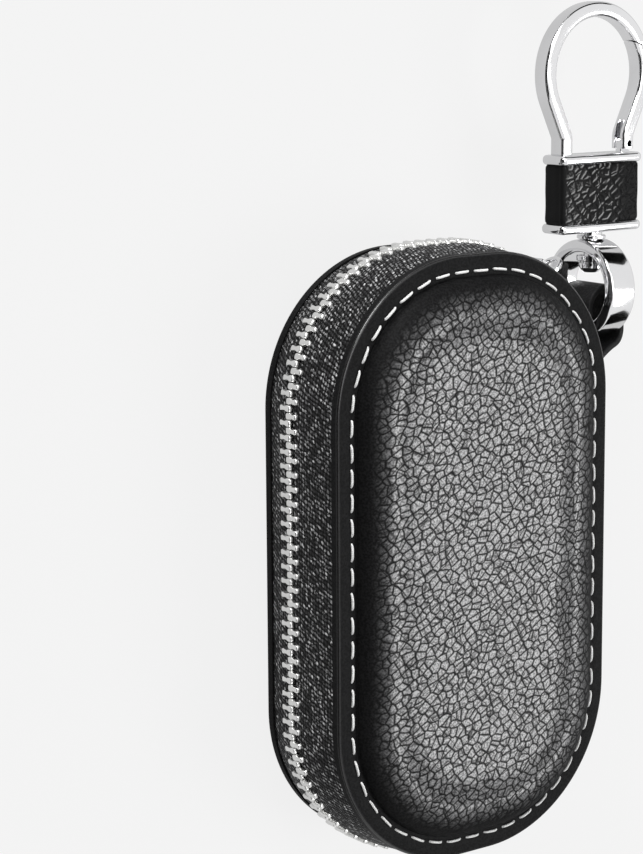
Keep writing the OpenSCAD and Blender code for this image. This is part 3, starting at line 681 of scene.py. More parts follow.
class Surface:
    """Collects grids of points and faces and makes one mesh object of them."""

    def __init__(self) -> None:
        self.points: list[np.ndarray] = []
        self.count = 0
        self.faces: list[tuple[int, ...]] = []
        self.uvs: list[tuple[float, float]] = []
        self.grain: list[np.ndarray] = []

    def grid(self, points: np.ndarray, wrap_rows: bool = False, wrap_cols: bool = False, uv: np.ndarray | None = None,
             flip: bool = False, grain: np.ndarray | None = None) -> np.ndarray:
        """Adds a grid of quads.

        Args:
            points: array of rows by columns by 3.
            wrap_rows: the last row joins the first.
            wrap_cols: the last column joins the first.
            uv: array of (rows + 1 if wrapped) by (columns + 1 if wrapped) by 2.
            flip: turns the faces over.
            grain: value of the grain attribute at each point.

        Returns:
            Array of the points' numbers, rows by columns.
        """
        rows, cols = points.shape[:2]
        index = self.count + np.arange(rows * cols).reshape(rows, cols)
        self.points.append(points.reshape(-1, 3))
        self.grain.append(np.zeros(rows * cols) if grain is None else np.asarray(grain, float).reshape(-1))
        self.count += rows * cols
        if uv is None:
            uv = np.zeros((rows + 1, cols + 1, 2))
        for i in range(rows if wrap_rows else rows - 1):
            for j in range(cols if wrap_cols else cols - 1):
                k, m = (i + 1) % rows, (j + 1) % cols
                corners = [(index[i, j], uv[i, j]), (index[k, j], uv[i + 1, j]),
                           (index[k, m], uv[i + 1, j + 1]), (index[i, m], uv[i, j + 1])]
                if flip:
                    corners.reverse()
                self.faces.append(tuple(int(c[0]) for c in corners))
                self.uvs.extend((float(c[1][0]), float(c[1][1])) for c in corners)
        return index

    def shell(self, points: np.ndarray, by_rows: bool = False, flip: bool = False, **more) -> None:
        """Adds a grid that is wrapped one way and closed with a face at both ends of the other.

        Args:
            points: array of rows by columns by 3.
            by_rows: wraps the rows rather than the columns.
            flip: turns the faces over.
            more: other arguments of grid.
        """
        index = self.grid(points, wrap_rows=by_rows, wrap_cols=not by_rows, flip=flip, **more)
        ends = index.T if by_rows else index
        for ring, over in ((ends[0], not flip), (ends[-1], flip)):
            ring = tuple(int(i) for i in (ring[::-1] if over else ring))
            self.faces.append(ring)
            self.uvs.extend((0.0, 0.0) for _ in ring)

    def tube(self, origins: np.ndarray, across: np.ndarray, up: np.ndarray, profile: np.ndarray, closed: bool = False,
             lengths: np.ndarray | None = None) -> None:
        """Sweeps a closed profile along a path.

        Args:
            origins: points of the path, n by 3.
            across: direction of the profile's first axis at each point, n by 3.
            up: direction of its second axis, one for all points or n by 3.
            profile: m by 2, or n by m by 2 where it changes along the path.
            closed: the path is a loop.
            lengths: distance along the path at each point, for the UV map.
        """
        shape = profile if profile.ndim == 3 else np.repeat(profile[None], len(origins), 0)
        ups = np.broadcast_to(up, origins.shape)
        points = origins[:, None] + shape[..., :1] * across[:, None] + shape[..., 1:] * ups[:, None]
        if lengths is None:
            steps = np.linalg.norm(np.diff(origins, axis=0), axis=1)
            lengths = np.concatenate([[0.0], np.cumsum(steps)])
        if closed:
            lengths = np.append(lengths, lengths[-1] + np.linalg.norm(origins[0] - origins[-1]))
        edge = np.linalg.norm(np.diff(np.vstack([shape[0], shape[0][:1]]), axis=0), axis=1)
        around = np.concatenate([[0.0], np.cumsum(edge)])
        uv = np.stack(np.meshgrid(lengths, around, indexing="ij"), -1)
        if closed:
            self.grid(points, wrap_rows=True, wrap_cols=True, uv=uv, flip=True)
        else:
            self.shell(points, uv=uv, flip=True)

    def band(self, stations: np.ndarray, section: np.ndarray) -> None:
        """Sweeps a closed section along stations.

        Args:
            stations: array from Outline.walk or arc_stations.
            section: (distance out, z) pairs, m by 2.
        """
        flat = np.zeros(len(stations))
        self.tube(np.column_stack([stations[:, :2], flat]), np.column_stack([stations[:, 2:4], flat]), UP, section,
                  lengths=stations[:, 4])

    def flat_tube(self, path: np.ndarray, normals: np.ndarray, z: float, profile: np.ndarray) -> None:
        """Sweeps a closed profile along a path at one height.

        Args:
            path: points in (x, y), n by 2.
            normals: directions of the profile's first axis, n by 2.
            z: height of the path.
            profile: see tube; its second axis is Z.
        """
        flat = np.zeros(len(path))
        self.tube(np.column_stack([path, flat + z]), np.column_stack([normals, flat]), UP, profile)

    def lathe(self, centre: Sequence[float], axis: Sequence[float], profile: Section, steps: int = 64) -> None:
        """Turns a profile round an axis.

        Args:
            centre: point on the axis from which heights count.
            axis: direction of the axis.
            profile: (radius, height) pairs; a closed list makes a ring.
            steps: points round the axis.
        """
        axis = Vector(axis)
        first = axis.orthogonal().normalized()
        second = axis.cross(first)
        turn = np.linspace(0.0, math.tau, steps, endpoint=False)
        ring = np.cos(turn)[:, None] * np.array(first) + np.sin(turn)[:, None] * np.array(second)
        shape = np.array(profile)
        loop = bool(np.allclose(shape[0], shape[-1]))
        if loop:
            shape = shape[:-1]
        start = np.array(Vector(centre))
        points = start + shape[None, :, :1] * ring[:, None] + shape[None, :, 1:] * np.array(axis)
        if loop:
            self.grid(points, wrap_rows=True, wrap_cols=True)
        else:
            self.shell(points, by_rows=True)

    def build(self, name: str, finish: Finish, sharp_deg: float = 40.0) -> bpy.types.Object:
        """Makes the mesh object.

        Args:
            name: name of the piece.
            finish: its finish.
            sharp_deg: edges sharper than this stay sharp.

        Returns:
            The new object, linked to the scene.
        """
        mesh = bpy.data.meshes.new(name)
        mesh.from_pydata(np.concatenate(self.points).tolist(), [], self.faces)
        layer = mesh.uv_layers.new(name="length_and_width")
        layer.data.foreach_set("uv", np.array(self.uvs, dtype=np.float32).ravel())
        grain = mesh.attributes.new("grain", "FLOAT", "POINT")
        grain.data.foreach_set("value", np.concatenate(self.grain).astype(np.float32))
        shell = bmesh.new()
        shell.from_mesh(mesh)
        bmesh.ops.recalc_face_normals(shell, faces=shell.faces)
        shell.to_mesh(mesh)
        shell.free()
        smooth_over(mesh, sharp_deg)
        mesh.materials.append(finish.material())
        mesh.validate()
        made = link_new(name, mesh)
        return made


def smooth_over(mesh: bpy.types.Mesh, sharp_deg: float) -> None:
    """Shades a mesh smooth except at its sharp edges.

    Args:
        mesh: the mesh.
        sharp_deg: edges sharper than this stay sharp.
    """
    mesh.polygons.foreach_set("use_smooth", [True] * len(mesh.polygons))
    mesh.set_sharp_from_angle(angle=math.radians(sharp_deg))


def link_new(name: str, data: bpy.types.ID) -> bpy.types.Object:
    """Makes an object of mesh, camera or lamp data and links it to the scene.

    Args:
        name: name of the object.
        data: its data.

    Returns:
        The object.
    """
    made = bpy.data.objects.new(name, data)
    bpy.context.scene.collection.objects.link(made)
    return made


def turned(name: str, at: Sequence[float], axis: Sequence[float], profile_mm: Section, steps: int, finish: Finish,
           sharp_deg: float = 32.0) -> bpy.types.Object:
    """Makes a turned piece.

    Args:
        name: name of the piece.
        at: point on its axis from which heights count.
        axis: direction of the axis.
        profile_mm: (radius, height) pairs in millimetres; a closed list makes a ring.
        steps: points round the axis.
        finish: its finish.
        sharp_deg: edges sharper than this stay sharp.

    Returns:
        The piece.
    """
    surface = Surface()
    surface.lathe(at, axis, [(r * MM, h * MM) for r, h in profile_mm], steps)
    return surface.build(name, finish, sharp_deg)


def rounded_rect(width: float, height: float, radius: float, steps: int = 5) -> np.ndarray:
    """Outline of a rectangle with rounded corners, counter-clockwise about the origin.

    Args:
        width: full width.
        height: full height.
        radius: corner radius.
        steps: points on each corner.

    Returns:
        Array of points, m by 2.
    """
    radius = min(radius, width / 2, height / 2)
    out = []
    for k, (sx, sy) in enumerate([(1, 1), (-1, 1), (-1, -1), (1, -1)]):
        for t in np.linspace(0, math.pi / 2, steps):
            a = t + k * math.pi / 2
            out.append((sx * (width / 2 - radius) + radius * math.cos(a),
                        sy * (height / 2 - radius) + radius * math.sin(a)))
    return np.array(out)


def circle(count: int) -> np.ndarray:
    """Points evenly on the unit circle.

    Args:
        count: how many.

    Returns:
        Array of points, count by 2.
    """
    turn = np.linspace(0, math.tau, count, endpoint=False)
    return np.array([(math.cos(a), math.sin(a)) for a in turn])


def smooth_step(share: np.ndarray) -> np.ndarray:
    """Eases shares from 0 to 1 in and out.

    Args:
        share: values from 0 to 1.

    Returns:
        The eased shares.
    """
    return share * share * (3 - 2 * share)


def spun(points: np.ndarray, turn_deg: float) -> np.ndarray:
    """Turns points in a plane about the origin.

    Args:
        points: n by 2.
        turn_deg: angle, counter-clockwise.

    Returns:
        The turned points.
    """
    turn = math.radians(turn_deg)
    return points @ np.array([[math.cos(turn), math.sin(turn)], [-math.sin(turn), math.cos(turn)]])


def smooth_path(knots: Section, step: float) -> np.ndarray:
    """Smooth open curve through knots in a plane.

    Args:
        knots: points to pass through.
        step: distance between the points of the result.

    Returns:
        Array of points, n by 2.
    """
    knots = np.array(knots, float)
    padded = np.vstack([2 * knots[0] - knots[1], knots, 2 * knots[-1] - knots[-2]])
    fine = []
    for i in range(1, len(padded) - 2):
        p0, p1, p2, p3 = padded[i - 1:i + 3]
        t = np.linspace(0, 1, 24, endpoint=False)[:, None]
        fine.append(0.5 * (2 * p1 + (p2 - p0) * t + (2 * p0 - 5 * p1 + 4 * p2 - p3) * t ** 2
                           + (3 * p1 - p0 - 3 * p2 + p3) * t ** 3))
    curve = np.vstack(fine + [knots[-1:]])
    along = np.concatenate([[0], np.cumsum(np.linalg.norm(np.diff(curve, axis=0), axis=1))])
    even = np.linspace(0, along[-1], max(3, int(along[-1] / step) + 1))
    return np.stack([np.interp(even, along, curve[:, k]) for k in (0, 1)], 1)


def plane_normals(path: np.ndarray) -> np.ndarray:
    """Normals of a path in a plane, to the right of its direction.

    Args:
        path: points, n by 2.

    Returns:
        Unit normals, n by 2.
    """
    along = np.gradient(path, axis=0)
    along /= np.linalg.norm(along, axis=1)[:, None]
    return np.stack([along[:, 1], -along[:, 0]], 1)


# ---------------------------------------------------------------- the case's outline


@dataclass(frozen=True)
class CaseSize:
    """Main sizes of the case."""

    corner_r: float = 30.5 * MM
    corner_x: float = 4 * MM
    corner_y: float = 30.5 * MM
    mid_z: float = 16.8 * MM
    face_h: float = 12 * MM
    puff_h: float = 4.8 * MM
    rim_w: float = 4.6 * MM
    shoulder_w: float = 7.5 * MM
    crown_h: float = 0.7 * MM
    crown_run: float = 7 * MM
    leather_t: float = 1.2 * MM
    stitch_inset: float = 3.4 * MM
    zip_r: float = 30.9 * MM
    zip_z: float = 14.6 * MM
    zip_end_deg: float = 30.0
    sewn_deg: float = 55.0
    clip_x: float = 40.6 * MM


@dataclass(frozen=True)
class Outline:
    """Walks round the case, counter-clockwise seen from the front, from the right side."""

    size: CaseSize

    def legs(self, from_deg: float, closed: bool) -> list[tuple[float, float, float, float, float]]:
        """Splits the walk into arcs and straight runs.

        Args:
            from_deg: angle on the right corner arcs at which the walk starts and ends.
            closed: adds the right side, so the walk is a loop.

        Returns:
            List of (pivot x, pivot y, start angle, end angle, straight length) in metres and degrees.
        """
        x, y = self.size.corner_x, self.size.corner_y
        legs = [(x, y, from_deg, 90, 0), (x, y, 90, 90, 2 * x), (-x, y, 90, 180, 0), (-x, y, 180, 180, 2 * y),
                (-x, -y, 180, 270, 0), (-x, -y, 270, 270, 2 * x), (x, -y, 270, 360 - from_deg, 0)]
        if closed:
            legs.append((x, -y, 0, 0, 2 * y))
        return legs

    def length(self, radius: float, from_deg: float = 0.0, closed: bool = True) -> float:
        """Length of the walk.

        Args:
            radius: distance out from the middle of the corner arcs.
            from_deg: see legs.
            closed: see legs.

        Returns:
            The length in metres.
        """
        return sum(math.radians(a1 - a0) * radius + run for _, _, a0, a1, run in self.legs(from_deg, closed))

    def place(self, s: float, radius: float, from_deg: float = 0.0, closed: bool = True) -> tuple[float, float, float]:
        """Finds the place at a distance along the walk.

        Args:
            s: distance in metres.
            radius: distance out at which it is measured.
            from_deg: see legs.
            closed: see legs.

        Returns:
            Pivot x, pivot y and the outward angle in radians.
        """
        legs = self.legs(from_deg, closed)
        for k, (px, py, a0, a1, run) in enumerate(legs):
            part = math.radians(a1 - a0) * radius + run
            if s <= part or k == len(legs) - 1:
                if run:
                    a = math.radians(a0)
                    return px - math.sin(a) * s, py + math.cos(a) * s, a
                return px, py, math.radians(a0) + s / radius
            s -= part
        raise ValueError("the outline has no legs")

    def walk(self, radius: float, step: float, from_deg: float = 0.0, closed: bool = True) -> np.ndarray:
        """Samples the walk evenly on each arc and run.

        Args:
            radius: distance out at which the step is measured.
            step: largest distance between samples.
            from_deg: see legs.
            closed: see legs.

        Returns:
            Array of (pivot x, pivot y, outward x, outward y, distance), without the last point of a loop.
        """
        out, s = [], 0.0
        for px, py, a0, a1, run in self.legs(from_deg, closed):
            part = math.radians(a1 - a0) * radius + run
            n = max(1, math.ceil(part / step))
            for k in range(n):
                t = k / n
                a = math.radians(a0 + (a1 - a0) * t)
                x, y = px - math.sin(a) * run * t, py + math.cos(a) * run * t
                out.append((x, y, math.cos(a), math.sin(a), s + part * t))
            s += part
        if not closed:
            px, py, a = self.place(s, radius, from_deg, closed)
            out.append((px, py, math.cos(a), math.sin(a), s))
        return np.array(out)


def arc_stations(size: CaseSize, a0: float, a1: float, lower: bool, step_deg: float = 2.0) -> np.ndarray:
    """Samples one right corner arc.

    Args:
        size: sizes of the case.
        a0: first angle in degrees.
        a1: last angle in degrees.
        lower: the corner at the bottom end rather than the top one.
        step_deg: largest step.

    Returns:
        Array in the form of Outline.walk.
    """
    n = max(2, math.ceil((a1 - a0) / step_deg) + 1)
    turn = np.radians(np.linspace(a0, a1, n))
    if lower:
        turn = -turn[::-1]
    y = -size.corner_y if lower else size.corner_y
    s = np.abs(turn - turn[0]) * size.zip_r
    return np.stack([np.full(n, size.corner_x), np.full(n, y), np.cos(turn), np.sin(turn), s], 1)


def sweep_round(stations: np.ndarray, profile: np.ndarray) -> np.ndarray:
    """Places a profile of (distance out, z) at each station.

    Args:
        stations: array from Outline.walk or arc_stations.
        profile: m by 2.

    Returns:
        Points, n by m by 3.
    """
    x = stations[:, None, 0] + stations[:, None, 2] * profile[None, :, 0]
    y = stations[:, None, 1] + stations[:, None, 3] * profile[None, :, 0]
    z = np.repeat(profile[None, :, 1], len(stations), 0)
    return np.stack([x, y, z], -1)


def seat(piece: bpy.types.Object, body: Body, *nodes: str) -> bpy.types.Object:
    """Lets a piece ride on a body and stand for CAD nodes.

    Args:
        piece: the piece, in place.
        body: its body.
        nodes: the CAD nodes that it stands for.

    Returns:
        The piece.
    """
    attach(piece, body.value)
    if nodes:
        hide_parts(*nodes)
    return piece


def solid_cut(piece: bpy.types.Object, cutters: Sequence[bpy.types.Object], bevel: float = 0.0) -> bpy.types.Object:
    """Cuts other solids out of a piece and rounds its sharp edges.

    Args:
        piece: closed mesh to cut.
        cutters: closed meshes, which are removed afterwards.
        bevel: width of the rounding, in metres.

    Returns:
        The piece.
    """
    for cutter in cutters:
        cut = piece.modifiers.new("cut", "BOOLEAN")
        cut.operation = "DIFFERENCE"
        cut.solver = "EXACT"
        cut.object = cutter
    if bevel:
        rounding = piece.modifiers.new("rounding", "BEVEL")
        rounding.width = bevel
        rounding.segments = 2
        rounding.limit_method = "ANGLE"
        rounding.angle_limit = math.radians(35)
    graph = bpy.context.evaluated_depsgraph_get()
    made = bpy.data.meshes.new_from_object(piece.evaluated_get(graph), preserve_all_data_layers=True, depsgraph=graph)
    piece.modifiers.clear()
    old = piece.data
    piece.data = made
    bpy.data.meshes.remove(old)
    made.name = piece.name
    smooth_over(made, 38.0)
    for cutter in cutters:
        bpy.data.objects.remove(cutter, do_unlink=True)
    return piece


def ripple(points: np.ndarray, size: float, seed: float) -> np.ndarray:
    """Smooth unevenness from a few crossing waves, from -1 to 1.

    Args:
        points: n by 2 or n by 3 places.
        size: wave length in metres.
        seed: shifts the waves.

    Returns:
        n values.
    """
    total = np.zeros(len(points))
    for k in range(5):
        angle = seed + 1.9 * k
        freq = math.tau / size * (0.7 + 0.23 * k)
        across = points[:, 0] * math.cos(angle) + points[:, 1] * math.sin(angle)
        total += np.sin(across * freq + 2.7 * k + seed * 5.1)
    return total / 5


# ---------------------------------------------------------------- sub-assemblies


@dataclass
class SubAssembly:
    """Pieces of the case that are built together.

    Args:
        case: sizes of the case.
        look: the finishes.
    """

    case: CaseSize
    look: "Wardrobe"

    @property
    def outline(self) -> Outline:
        """Outline of the case."""
        return Outline(self.case)

    @property
    def corner(self) -> np.ndarray:
        """Middle of the top right corner arc, at the zip's height."""
        return np.array([self.case.corner_x, self.case.corner_y, self.case.zip_z])

    def build(self) -> list[bpy.types.Object]:
        """Builds the pieces and seats those that ride on a body.

        Returns:
            The pieces.
        """
        raise NotImplementedError


@dataclass
class PaddedPanel(SubAssembly):
    """One shell's leather panel over its foam, with the white stitches of its rim.

    Args:
        case: sizes of the case.
        look: the finishes.
        side: front or back.
    """

    side: Side
    edge_round: float = 0.6 * MM
    fold_t: float = 0.8 * MM
    stitch_pitch: float = 4.85 * MM
    stitch_len: float = 3.65 * MM
    thread_r: float = 0.26 * MM
    groove: float = 0.1 * MM
    sink: float = 0.35 * MM
    step: float = 1.3 * MM
    sag: float = 0.16 * MM
    # Width over which the pebble grain and its painted sheen fade out on the shoulder, a painted shade.
    grain_and_sheen_fade: float = 7.0 * MM
    foam_gap: float = 0.35 * MM
    foam_step: float = 2.4 * MM
    lining_inset: float = 2.1 * MM
    lining_low: float = 9.5 * MM
    lining_high: float = 10.0 * MM
    lining_step: float = 2.2 * MM
    lining_sag: float = 0.05 * MM
    @property
    def body(self) -> Body:
        """Body that carries the panel."""
        return Body.FRONT if self.side is Side.FRONT else Body.BACK

    @property
    def tag(self) -> str:
        """Word that begins the names of its pieces."""
        return "front" if self.side is Side.FRONT else "back"

    def lay(self, profile: np.ndarray) -> np.ndarray:
        """Turns heights above the middle of the case into Z.

        Args:
            profile: (distance out, height) pairs.

        Returns:
            (distance out, z) pairs.
        """
        return np.stack([profile[:, 0], self.case.mid_z + self.side.value * profile[:, 1]], 1)

    def outer_curve(self, drop: float = 0.0) -> list[tuple[float, float]]:
        """Curve of the panel's face from its foot to its middle.

        Args:
            drop: how far it lies under the leather's face.

        Returns:
            (distance out, height) pairs.
        """
        c = self.case
        foot = c.corner_r - c.rim_w
        rise = c.puff_h - c.crown_h
        out = []
        for k in range(17):
            t = math.pi / 2 * k / 16
            out.append((foot - drop - c.shoulder_w * (1 - math.cos(t)), c.face_h - drop + rise * math.sin(t)))
        shoulder = foot - c.shoulder_w
        for k in range(1, 9):
            t = math.pi / 2 * k / 8
            out.append((shoulder - drop - c.crown_run * k / 8, c.face_h - drop + rise + c.crown_h * math.sin(t)))
        for r in (9.0, 6.0, 3.0, 0.6):
            out.append((r * MM, c.face_h - drop + c.puff_h))
        return out

    def skin_profile(self) -> tuple[np.ndarray, np.ndarray]:
        """Section of the leather, from its middle on the face to its middle underneath.

        Returns:
            (distance out, height) pairs and the share of pebble grain and of its painted sheen at each.
        """
        c = self.case
        face = self.outer_curve()[::-1]
        foot = c.corner_r - c.rim_w
        stitch = c.corner_r - c.stitch_inset
        rim = [(foot + 0.12 * MM, c.face_h - 0.10 * MM), (foot + 0.45 * MM, c.face_h - 0.04 * MM),
               (stitch - 0.55 * MM, c.face_h), (stitch - 0.25 * MM, c.face_h - self.groove),
               (stitch + 0.25 * MM, c.face_h - self.groove), (stitch + 0.55 * MM, c.face_h),
               (stitch + 1.4 * MM, c.face_h + 0.02 * MM)]
        e = self.edge_round
        for k in range(7):
            t = math.pi / 2 * k / 6
            rim.append((c.corner_r - e + e * math.sin(t), c.face_h - e + e * math.cos(t)))
        low = c.face_h - c.leather_t - 0.8 * MM
        fold = [(c.corner_r, low + 0.1 * MM), (c.corner_r - 0.1 * MM, low), (c.corner_r - self.fold_t, low),
                (c.corner_r - self.fold_t, c.face_h - c.leather_t)]
        points = np.array(face + rim + fold + self.outer_curve(c.leather_t))
        reach = np.array([p[0] for p in face])
        # grain, painted sheen and gloss fade out towards the rim; the darker shoulder is painted shade
        grain = smooth_step(np.clip((foot - 0.7 * MM - reach) / self.grain_and_sheen_fade, 0, 1))
        zone = np.concatenate([grain, np.zeros(len(points) - len(face))])
        painted = len(face) + len(rim) - 6
        zone[painted:painted + 5] = (-0.4, -1, -1, -1, -0.4)
        return points, zone

    def layer(self, name: str, node: str, points: np.ndarray, flip: bool, finish: Finish, sharp_deg: float = 40.0,
              **more) -> bpy.types.Object:
        """Makes a closed layer of the panel and seats it.

        Args:
            name: last part of the piece's name.
            node: last part of the CAD node's name.
            points: stations by profile by 3.
            flip: turns the faces over.
            finish: its finish.
            sharp_deg: edges sharper than this stay sharp.
            more: other arguments of Surface.grid.

        Returns:
            The piece.
        """
        surface = Surface()
        surface.shell(points, by_rows=True, flip=flip, **more)
        piece = surface.build(f"{self.tag}_{name}", finish, sharp_deg)
        return seat(piece, self.body, f"{self.tag}_{node}")

    def skin(self) -> bpy.types.Object:
        """Builds the leather.

        Returns:
            The piece.
        """
        profile, grain = self.skin_profile()
        stations = self.outline.walk(self.case.corner_r, self.step)
        points = sweep_round(stations, self.lay(profile))
        faces = len(self.outer_curve())
        flat = points[:, :faces].reshape(-1, 3)
        soft = np.tile(grain[:faces], len(stations))
        sag = ripple(flat[:, :2], 0.034, 0.4 + self.side.value) * self.sag * soft
        flat[:, 2] += self.side.value * np.minimum(sag, 0.0)
        points[:, :faces] = flat.reshape(len(stations), faces, 3)
        piece = self.layer("panel", "leather", points, self.side is Side.FRONT, self.look.pebbled, 34.0,
                           grain=np.tile(grain, (len(stations), 1)))
        return piece

    def foam(self) -> bpy.types.Object:
        """Builds the foam under the leather.

        Returns:
            The piece.
        """
        c = self.case
        gap = c.leather_t + self.foam_gap
        low = c.face_h - c.leather_t + 0.12 * MM
        curve = [(c.corner_r - c.rim_w - gap - 0.25 * MM, low + 0.1 * MM)] + self.outer_curve(gap)[2:]
        profile = np.array([(0.6 * MM, low), (curve[0][0] - 0.4 * MM, low)] + curve)
        points = sweep_round(self.outline.walk(c.corner_r, self.foam_step), self.lay(profile))
        return self.layer("foam", "padding", points, self.side is Side.BACK, self.look.foam)

    def stitches(self) -> bpy.types.Object:
        """Builds the row of stitches round the rim.

        Returns:
            The piece.
        """
        c = self.case
        radius = c.corner_r - c.stitch_inset
        length = self.outline.length(radius)
        count = round(length / self.stitch_pitch)
        share = np.linspace(-0.5, 0.5, 11)
        lift = self.thread_r - self.groove
        heights = c.face_h + lift - (self.sink + lift) * np.abs(2 * share) ** 4.5
        swell = self.thread_r * (0.86 + 0.14 * np.cos(math.pi * share))
        profile = circle(10)[None] * swell[:, None, None]
        surface = Surface()
        rng = np.random.default_rng(7)
        for k in range(count):
            middle = (k + 0.5) * length / count
            skew = rng.uniform(-0.12, 0.12) * MM
            run = self.stitch_len * rng.uniform(0.96, 1.04)
            origins, outs = [], []
            for t, h in zip(share, heights):
                px, py, a = self.outline.place((middle + t * run) % length, radius)
                out = np.array([math.cos(a), math.sin(a), 0.0])
                spot = np.array([px, py, 0.0]) + out * (radius + 2 * skew * t)
                spot[2] = c.mid_z + self.side.value * h
                origins.append(spot)
                outs.append(out)
            surface.tube(np.array(origins), np.array(outs), UP * self.side.value, profile)
        return seat(surface.build(f"{self.tag}_stitches", self.look.thread, 60.0), self.body)

    def lining(self) -> bpy.types.Object:
        """Builds the cloth that lines the shell.

        Returns:
            The piece.
        """
        c = self.case
        edge = c.corner_r - self.lining_inset
        low, high, rim = self.lining_low, self.lining_high, edge / MM
        shape = [(0.6, high), (rim - 0.15, high), (rim, high - 0.1 * MM), (rim, low + 0.14 * MM), (rim - 0.2, low),
                 (rim - 1.6, low), (rim - 1.9, low + 0.10 * MM), (rim - 2.3, low + 0.02 * MM)]
        folds = len(shape)
        shape += [(r, low + 0.05 * MM) for r in (22.0, 18.0, 14.0, 10.0, 6.0, 3.0, 0.6)]
        profile = np.array([(r * MM, h) for r, h in shape])
        points = sweep_round(self.outline.walk(edge, self.lining_step), self.lay(profile))
        soft = points[:, folds:].reshape(-1, 3)
        soft[:, 2] += self.side.value * ripple(soft[:, :2], 0.03, 2.2) * self.lining_sag
        points[:, folds:] = soft.reshape(points[:, folds:].shape)
        piece = self.layer("lining_cloth", "lining", points, self.side is Side.FRONT, self.look.lining)
        return (piece, f"{self.tag}_board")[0]

    def build(self) -> list[bpy.types.Object]:
        """Builds every piece of the panel; see SubAssembly.build."""
        return [self.skin(), self.foam(), self.stitches(), self.lining()]


